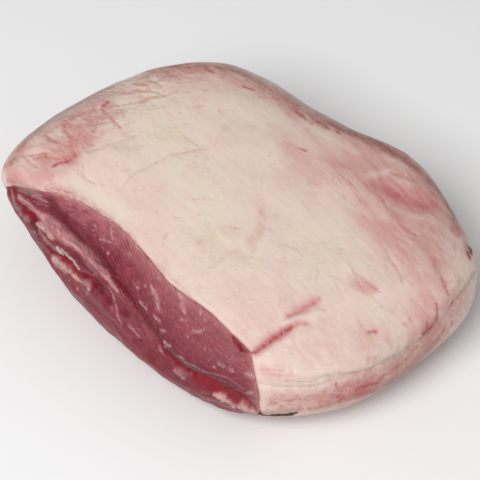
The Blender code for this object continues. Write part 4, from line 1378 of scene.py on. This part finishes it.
def lean_material(looks):
    material, tree, shader, where = new_material("moist lean beef")
    grain = add_node(tree, "ShaderNodeUVMap", uv_map="grain").outputs[0]
    patterns = all_patterns(tree, where, LEAN_PATTERNS) | all_patterns(tree, grain, GRAIN_PATTERNS)
    broad, medium, ragged, fibres, bundles, flecks, threads = patterns.values()
    painted_by = {name: painted_value(tree, name) for name in LEAN_PAINT}
    flap, crimson = painted_by["flap"], painted_by["crimson"]
    on_cut = calculate(tree, "SUBTRACT", 1.0, times(tree, flap, 0.7))
    rosy = painted_by["rosy"]

    cut = mixed(tree, between(tree, medium, 0.30, 0.66), colour4(looks.cut_dark), colour4(looks.cut_light))
    loose = mixed(tree, between(tree, medium, 0.25, 0.75), colour4(looks.flap_dark), colour4(looks.flap_light))
    membrane = mixed(tree, between(tree, fibres, 0.35, 0.65), colour4(looks.membrane_dark), colour4(looks.membrane))
    lumps = mixed(tree, between(tree, ragged, 0.35, 0.65), colour4(looks.membrane), colour4(looks.lump))
    colour = layered(tree, cut, [
        (times(tree, between(tree, broad, 0.55, 0.40), 0.5), looks.cut_dark),
        (times(tree, between(tree, rosy, 0.6, 0.0), 0.8), looks.cut_dark),
        (times(tree, between(tree, bundles, 0.50, 0.70), 0.4), looks.cut_light),
        (times(tree, between(tree, rosy, 0.35, 1.0), 0.6), looks.cut_rosy),
        # Painted light on the cut face
        (coat(tree, painted_by["painted_light"], medium, 0.6, 0.6), looks.painted_light),
        (times(tree, between(tree, ragged, 0.52, 0.72), 0.3), looks.fibre),
        (flap, loose),
        (times(tree, between(tree, bundles, 0.5, 0.7), flap, 0.45), looks.flap_light),
        (times(tree, between(tree, fibres, 0.52, 0.68), on_cut, 0.6), looks.fibre),
        (times(tree, between(tree, fibres, 0.48, 0.32), 0.75), looks.cut_dark),
        (times(tree, between(tree, flecks, 0.58, 0.72), on_cut, 0.42), looks.marbling),
        (coat(tree, painted_by["film"], fibres, 0.3, 0.75), looks.membrane),
        # Painted shade in the crease, the hollows and the low parts
        (coat(tree, painted_by["painted_shade"], medium, 0.55, 0.85), looks.painted_shade),
        (coat(tree, between(tree, crimson, 0.1, 0.8), medium, 0.4, 0.9), looks.crimson),
        # Pale pink membrane, and the faint painted sheen on the flap
        (coat(tree, between(tree, painted_by["membrane"], 0.0, 0.8), bundles, 0.6, 0.92), membrane),
        # Grey skin, and grey painted shade under the fat's lip
        (coat(tree, painted_by["grey"], fibres, 0.5, 0.85), looks.grey),
        (coat(tree, painted_by["marbling"], ragged, 0.3, 0.68), looks.marbling),
        (worn(tree, between(tree, painted_by["fat"], 0.0, 0.9), medium, 0.45), lumps),
        (times(tree, thin_lines(tree, threads, 0.035), flap, 0.45), looks.flap_dark),
        # White tendon with a painted highlight along it, and painted glints
        (coat(tree, painted_by["tendon"], ragged, 0.5, 0.9), looks.tendon),
    ])
    tree.links.new(colour, shader.inputs["Base Color"])
    tree.links.new(between(tree, medium, 0.3, 0.7, 0.28, 0.46), shader.inputs["Roughness"])
    let_light_in(shader, *LEAN_DEPTH_OF_LIGHT)
    shader.inputs["Specular IOR Level"].default_value = LEAN_SHINE
    set_bump(tree, shader, patterns, LEAN_BUMPS)
    return material


def plain_material(name, colour, roughness):
    material = bpy.data.materials.new(name)
    material.use_nodes = True
    shader = material.node_tree.nodes["Principled BSDF"]
    shader.inputs["Base Color"].default_value = colour4(colour)
    shader.inputs["Roughness"].default_value = roughness
    return material


def colour_setting(name, description, colour):
    return FloatVectorProperty(
        name=name, description=description, default=colour, size=3, min=0.0, max=1.0, subtype="COLOR"
    )


def height_setting(name, description, height):
    return FloatProperty(name=name, description=description, default=height, unit="LENGTH")


class SirloinFatLooks(bpy.types.PropertyGroup):
    """Sizes and colours of the fat cap."""

    unevenness: height_setting("Unevenness", "Height of the soft swells in the fat", 0.0010)
    wrinkling: height_setting("Wrinkling", "Height of the fine wrinkles in the skin of the fat", 0.00018)
    pale: colour_setting("Pale fat", "Main colour of the fat", (0.755, 0.605, 0.53))
    pink_white: colour_setting("Pink white fat", "Second colour of the fat", (0.73, 0.56, 0.50))
    cream: colour_setting("Cream fat", "Colour of the thick yellow fat in the middle", (0.735, 0.625, 0.515))
    yellow: colour_setting("Yellow fat", "Colour of the yellowest fat", (0.70, 0.60, 0.45))
    blush_light: colour_setting("Faint blush", "Colour of the faint broad pink patches", (0.72, 0.51, 0.46))
    # The ruddy colour is also that of the painted shade along the outlines and under the seam
    ruddy: colour_setting("Thin fat", "Colour of the ruddy thin fat", (0.50, 0.215, 0.180))
    edge: colour_setting("Edge of the fat", "Colour of the fat's thin edge over the cut face", (0.64, 0.36, 0.35))
    blush: colour_setting("Blush", "Colour of the pink patches", (0.62, 0.315, 0.285))
    flush: colour_setting("Flush", "Colour of the deep pink patches", (0.50, 0.140, 0.145))
    # The colour of the fat low down: a browner tone and painted shade
    low: colour_setting("Low fat", "Brownish colour of the fat low down", (0.47, 0.285, 0.235))
    vein: colour_setting("Vein", "Colour of the fine red lines", (0.48, 0.13, 0.125))
    blood: colour_setting("Blood", "Colour of the red spots", (0.36, 0.03, 0.04))
    grey: colour_setting("Grey skin", "Colour of the translucent grey creases", (0.45, 0.36, 0.34))
    crack: colour_setting("Crack", "Colour of the fine yellow brown cracks", (0.50, 0.34, 0.20))
    # Also the colour of the painted highlights by the gash and of the glint
    skin: colour_setting("Pale skin", "Colour of the grey white skin", (0.72, 0.62, 0.56))
    # The colour of the painted shade along the outlines
    rim: colour_setting("Rim", "Dark red brown where the fat is thinnest", (0.22, 0.065, 0.055))
    meat: colour_setting(
        "Meat under the fat", "Colour of the lean meat that shows through the fat's edge", (0.34, 0.11, 0.12)
    )
    # The colour of the painted shadow under the fat's edge and at the outline
    painted_shade: colour_setting("Dark", "Colour of the darkest slits", (0.045, 0.012, 0.008))


class SirloinLeanLooks(bpy.types.PropertyGroup):
    """Sizes and colours of the lean meat."""

    lumpiness: height_setting("Lumpiness", "Height of the lumps on the loose flap", 0.0010)
    grain: height_setting("Grain", "Height of the bundles of fibres in the cut face", 0.0003)
    cut_dark: colour_setting("Cut face, dark", "Darker colour of the cut face", (0.150, 0.016, 0.027))
    cut_light: colour_setting("Cut face, light", "Lighter colour of the cut face", (0.245, 0.033, 0.050))
    cut_rosy: colour_setting("Cut face, rosy", "Colour of the cut face close to the fat", (0.36, 0.105, 0.122))
    # The colour of the painted light on the cut face
    painted_light: colour_setting("Bloom", "Colour of the palest, mauve parts of the cut face", (0.43, 0.155, 0.175))
    fibre: colour_setting("Fibre", "Colour of the pale fibres", (0.38, 0.095, 0.115))
    marbling: colour_setting("Marbling", "Colour of the marbling", (0.60, 0.37, 0.37))
    flap_dark: colour_setting("Flap, dark", "Darker colour of the flap", (0.15, 0.018, 0.028))
    flap_light: colour_setting("Flap, light", "Lighter colour of the flap", (0.27, 0.050, 0.066))
    crimson: colour_setting("Crimson", "Colour of the deep wet red", (0.235, 0.004, 0.012))
    membrane: colour_setting("Membrane", "Colour of the pink membrane", (0.61, 0.325, 0.32))
    membrane_dark: colour_setting("Membrane, dark", "Darker colour of the pink membrane", (0.50, 0.215, 0.22))
    # Also the colour of the painted shade under the fat's lip
    grey: colour_setting("Grey skin", "Colour of the grey translucent skin", (0.36, 0.25, 0.25))
    lump: colour_setting("Fat lump", "Colour of the fat on the flap", (0.64, 0.40, 0.385))
    tendon: colour_setting("Tendon", "Colour of the shiny tendon", (0.76, 0.64, 0.62))
    # The colour of the painted shade in the creases and hollows
    painted_shade: colour_setting("Depth", "Colour of the darkest creases", (0.055, 0.008, 0.010))


class SirloinStageLooks(bpy.types.PropertyGroup):
    """Light and floor."""

    sky: FloatProperty(name="Sky", description="Strength of the even white light", default=0.38, min=0.0)
    key: FloatProperty(
        name="Key light", description="Power of the large soft light", default=60.0, min=0.0, unit="POWER"
    )
    floor: colour_setting("Floor", "Colour of the floor", (0.9, 0.9, 0.9))


class SIRLOIN_OT_fat_cap(bpy.types.Operator):
    """Models the fat cap: a shell over the top, the back and the right end, with its seams, hollows and veins"""

    bl_idname = "sirloin.fat_cap"
    bl_label = "Fat cap"

    def execute(self, context):
        looks = context.scene.sirloin_fat
        piece = sliced_block("fat_cap_look")
        mesh = piece.data
        keep_places(mesh, coordinates(mesh).round(6))
        select_only(mesh, "FACE", ~is_covered(face_centres(mesh)))
        bpy.ops.mesh.delete(type="FACE")
        bpy.ops.object.mode_set(mode="OBJECT")
        cube = kept_places(mesh)
        move_to(mesh, meat_form(cube))
        group = piece.vertex_groups.new(name="thickness")
        for index, depth in enumerate(fat_depth(cube)):
            group.add([index], float(depth / FAT_THICKNESS), "REPLACE")
        shell = piece.modifiers.new("shell", "SOLIDIFY")
        shell.thickness = FAT_THICKNESS
        shell.offset = -1.0
        shell.vertex_group = group.name
        bpy.ops.object.modifier_apply(modifier=shell.name)

        cube = kept_places(mesh)
        outside = np.linalg.norm(coordinates(mesh) - meat_form(cube), axis=1) < SAME_PLACE
        keep_value(mesh, "outside", outside)
        for zone, cuts in enumerate((FAT_END_CUTS, FAT_MIDDLE_CUTS, FAT_BACK_CUTS)):
            outer = self.outer_faces(mesh)
            untouched = values_of(mesh.polygons, "loop_total", kind=int) == 4
            cut_faces(mesh, outer & untouched & (self.zones(centres_on_block(mesh)) == zone), cuts)

        cube = kept_places(mesh)
        outside = self.is_outside(mesh)
        inner = coordinates(mesh)
        outer = meat_form(self.ragged(cube))
        move_to(mesh, np.where(outside[:, None], outer, inner))
        normals = surface_normals(mesh, self.outer_faces(mesh))
        pixels, facing = place_in_picture(outer, normals)
        shift = wandering(outer, FAT_WANDER_SIZE)
        self.paint(mesh, pixels + shift, facing, outer, cube)
        depth = SAFE_INSET + carved(pixels, shift, facing, FAT_RELIEF)
        depth += looks.unevenness * noise_at(outer, SWELL_SIZE, 2) * smooth_step(outer[:, 2] / FAT_FOOT_RISE)
        depth += looks.wrinkling * noise_at(outer * WRINKLE_FINENESS, WRINKLE_SIZE, 2)
        lip = np.clip(1.0 - from_fat_edge(cube) * HALF_WIDTH / LIP_REACH, 0.0, 1.0)
        depth += LIP_DROP * lip**2
        depth = np.minimum(depth, DEEPEST_SHARE * fat_depth(cube))
        shaped = kept_in_box(outer - depth[:, None] * normals)
        move_to(mesh, np.where(outside[:, None], shaped, inner))
        finish_piece(piece, fat_material(looks), "fat_cap")
        return {"FINISHED"}

    def zones(self, centres):
        """0 for the ends of the top and the right end, which show much detail, 1 for the middle, 2 for the rest."""
        u, v, w = centres.T
        on_top = w > FACE_ON_SIDE
        plain = on_top & (u > FAT_MIDDLE[0]) & (u < FAT_MIDDLE[1])
        return np.where(plain, 1, np.where(on_top | (u > FACE_ON_SIDE), 0, 2))

    def ragged(self, cube):
        """Draws the fat's front edge out over the lean meat by uneven amounts."""
        waves = 0.5 + 0.5 * noise_at(meat_form(cube), RAGGED_SIZE, 3)
        drawn = cube.copy()
        share = smooth_step(1.0 - (1.0 + cube[:, 1]) / RAGGED_REACH)
        drawn[:, 1] -= RAGGED_EDGE * np.clip(waves, 0.0, 1.0) * share
        return drawn

    def paint(self, mesh, pixels, facing, points, cube):
        x, y, z = points.T
        # Ruddy colour over the back, partly painted shade: stronger where the fat turns away from the camera and its
        # light
        beyond = BACK_RUDDINESS * (1.0 - facing) * smooth_step((z - BACK_RUDDY_FROM) / BACK_RUDDY_RISE)
        for name, strokes in FAT_STROKES.items():
            cover = painted(pixels, facing, strokes)
            keep_value(mesh, name, np.maximum(cover, beyond) if name == "ruddy" else cover)
        to_far_right = smooth_step((STREAKY_ALONG * x + STREAKY_ACROSS * y + STREAKY_START) / STREAKY_FADE)
        streaky = STREAKY_LEAST + (1.0 - STREAKY_LEAST) * to_far_right
        keep_value(mesh, "streaky", np.maximum(streaky, 1.0 - facing))
        # Browner tone and painted shade low down
        keep_value(mesh, "low", smooth_step((LOW_TOP - z) / LOW_FADE))
        at_end = smooth_step((WEB_END - x) / WEB_END_FADE)
        keep_value(mesh, "web", at_end * smooth_step((y - WEB_FRONT) / WEB_FRONT_FADE))
        edge = np.exp(-from_fat_edge(cube) * HALF_WIDTH / EDGE_COLOUR_REACH)
        keep_value(mesh, "edge", edge * (cube[:, 1] < EDGE_COLOUR_END))

    def is_outside(self, mesh):
        return values_of(mesh.attributes["outside"].data, "value", kind=np.float32) > FACE_ON_SIDE

    def outer_faces(self, mesh):
        """True for faces whose corners all lie on the outside."""
        starts = values_of(mesh.polygons, "loop_start", kind=int)
        return np.logical_and.reduceat(self.is_outside(mesh)[corner_vertices(mesh)], starts)


class SIRLOIN_OT_lean_meat(bpy.types.Operator):
    """Models the lean meat: the cut face with its grain and marbling, the crease, and the loose flap under it"""

    bl_idname = "sirloin.lean_meat"
    bl_label = "Lean meat"

    def execute(self, context):
        looks = context.scene.sirloin_lean
        piece = sliced_block("lean_meat_look")
        mesh = piece.data
        keep_places(mesh, coordinates(mesh).round(6))
        centres = face_centres(mesh)
        cut_faces(mesh, centres[:, 1] < -FACE_ON_SIDE, LEAN_CUTS)
        centres = centres_on_block(mesh)
        cut_faces(mesh, (centres[:, 0] < -FACE_ON_SIDE) & (centres[:, 2] < LEFT_FAT_EDGE), LEAN_LEFT_CUTS)

        cube = follow_crease(kept_places(mesh))
        outer = meat_form(cube)
        move_to(mesh, outer)
        normals = surface_normals(mesh, np.ones(len(mesh.polygons)))
        u, v, w = cube.T
        on_front = v < -ON_SIDE
        on_left = (u < -ON_SIDE) & (w <= LEFT_FAT_EDGE)
        covered = (cube > ON_SIDE).any(axis=1) | ((u < -ON_SIDE) & (w > LEFT_FAT_EDGE))
        covered &= ~(on_front & (w < ON_SIDE) & (np.abs(u) < ON_SIDE))
        depth = np.zeros(len(cube))
        depth[on_front] = self.bare_depth(u[on_front], w[on_front])
        depth[on_left] = FAT_EDGE * smooth_step((1.0 + w[on_left]) / FLAP_FADE)
        depth[covered] = fat_depth(cube[covered]) + LEAN_GAP

        open_side = (on_front | on_left) & ~covered
        pixels, facing = place_in_picture(outer - depth[:, None] * normals, normals)
        shift = wandering(outer, LEAN_WANDER_SIZE)
        above = w - crease_line(u)
        flap = smooth_step(-above / FLAP_START) * on_front + on_left
        foot = smooth_step(outer[:, 2] / LEAN_FOOT_RISE)
        relief = carved(pixels, shift, facing, LEAN_RELIEF)
        relief += looks.lumpiness * flap * noise_at(outer * LUMP_FINENESS, LUMP_SIZE, 3)
        relief += looks.grain * (1.0 - flap) * noise_at(outer * BUNDLE_FINENESS, BUNDLE_SIZE, 2)
        rim = smooth_step(np.minimum(1.0 - w, 1.0 - np.abs(u)) / LEAN_RIM)
        depth[open_side] += (relief * foot * np.where(on_left, 1.0, rim))[open_side]
        shaped = kept_in_box(outer - np.maximum(depth, -RIDGE_LIMIT)[:, None] * normals)
        self.paint(mesh, pixels + shift, facing, flap)
        film = np.exp(-np.minimum(1.0 - w, 1.0 - u) * GIRTH_HEIGHT / FILM_REACH)
        keep_value(mesh, "film", film * on_front)
        keep_value(mesh, "rosy", np.clip(above / (1.0 - crease_line(u)), 0.0, 1.0))
        self.lay_grain(mesh, u, above)
        move_to(mesh, shaped)
        finish_piece(piece, lean_material(looks), "lean_meat")
        return {"FINISHED"}

    def bare_depth(self, along, up):
        """How far the bare front lies inside the outer form: close to it by the fat, and as in the CAD elsewhere."""
        near_fat = smooth_step(1.0 - np.minimum(1.0 - up, 1.0 - along) / LEAN_LIP_REACH)
        foot = smooth_step((1.0 + up) / FLAP_FADE)
        return front_depth(along, up) - (FAT_EDGE - LEAN_LIP) * near_fat * foot

    def paint(self, mesh, pixels, facing, flap):
        for name, strokes in LEAN_STROKES.items():
            keep_value(mesh, name, painted(pixels, facing, strokes))
        keep_value(mesh, "flap", flap)

    def lay_grain(self, mesh, along, above):
        """Lays the map that the fibres follow: along the crease one way, and away from it the other."""
        flat = np.stack([along * HALF_LENGTH, above * GIRTH_HEIGHT], axis=1)
        layer = mesh.uv_layers.get("grain") or mesh.uv_layers.new(name="grain")
        layer.data.foreach_set("uv", np.ascontiguousarray(flat[corner_vertices(mesh)], np.float32).ravel())


class SIRLOIN_OT_stage(bpy.types.Operator):
    """Lays a plain pale floor and sets up soft light and the camera"""

    bl_idname = "sirloin.stage"
    bl_label = "Stage"

    def execute(self, context):
        looks = context.scene.sirloin_stage
        scene = context.scene
        bpy.ops.object.select_all(action="DESELECT")
        bpy.ops.mesh.primitive_plane_add(size=FLOOR_SIZE)
        floor = context.object
        floor.name = "floor"
        floor.data.materials.append(plain_material("pale floor", looks.floor, FLOOR_ROUGHNESS))
        world = bpy.data.worlds.new("even white")
        world.use_nodes = True
        sky = world.node_tree.nodes["Background"]
        sky.inputs["Color"].default_value = (1.0, 1.0, 1.0, 1.0)
        sky.inputs["Strength"].default_value = looks.sky
        scene.world = world
        camera_place, right, up, back = view_axes()
        lamp = bpy.data.lights.new("key", "AREA")
        lamp.shape = "SQUARE"
        lamp.size = KEY_SIZE
        lamp.energy = looks.key
        key = bpy.data.objects.new("key", lamp)
        scene.collection.objects.link(key)
        key.location = Vector(KEY_DISTANCE * (back + KEY_LEFT * -right + KEY_UP * up))
        key.rotation_mode = "QUATERNION"
        key.rotation_quaternion = key.location.to_track_quat("Z", "Y")
        eye = bpy.data.cameras.new("camera")
        eye.sensor_width = SENSOR_WIDTH
        eye.lens = FOCAL_PIXELS / PICTURE_SIZE * SENSOR_WIDTH
        camera = bpy.data.objects.new("camera", eye)
        scene.collection.objects.link(camera)
        camera.location = Vector(camera_place)
        camera.rotation_mode = "QUATERNION"
        camera.rotation_quaternion = Vector(-back).to_track_quat("-Z", "Y")
        scene.camera = camera
        scene.view_settings.view_transform = "Standard"
        return {"FINISHED"}


class SIRLOIN_PT_panel(bpy.types.Panel):
    """Lists the pieces of the sirloin"""

    bl_idname = "SIRLOIN_PT_panel"
    bl_label = "Beef top sirloin"
    bl_space_type = "VIEW_3D"
    bl_region_type = "UI"
    bl_category = "Sirloin"

    def draw(self, context):
        for settings, operator in (
            (context.scene.sirloin_fat, SIRLOIN_OT_fat_cap),
            (context.scene.sirloin_lean, SIRLOIN_OT_lean_meat),
            (context.scene.sirloin_stage, SIRLOIN_OT_stage),
        ):
            box = self.layout.box()
            box.operator(operator.bl_idname)
            for name in settings.__annotations__:
                box.prop(settings, name)


CLASSES = (
    SirloinFatLooks,
    SirloinLeanLooks,
    SirloinStageLooks,
    SIRLOIN_OT_fat_cap,
    SIRLOIN_OT_lean_meat,
    SIRLOIN_OT_stage,
    SIRLOIN_PT_panel,
)


def register():
    for each in CLASSES:
        bpy.utils.register_class(each)
    bpy.types.Scene.sirloin_fat = PointerProperty(type=SirloinFatLooks)
    bpy.types.Scene.sirloin_lean = PointerProperty(type=SirloinLeanLooks)
    bpy.types.Scene.sirloin_stage = PointerProperty(type=SirloinStageLooks)


def unregister():
    del bpy.types.Scene.sirloin_stage
    del bpy.types.Scene.sirloin_lean
    del bpy.types.Scene.sirloin_fat
    for each in reversed(CLASSES):
        bpy.utils.unregister_class(each)


def main():
    register()
    bpy.ops.sirloin.lean_meat()
    bpy.ops.sirloin.fat_cap()
    bpy.ops.sirloin.stage()


if __name__ == "__main__":
    main()
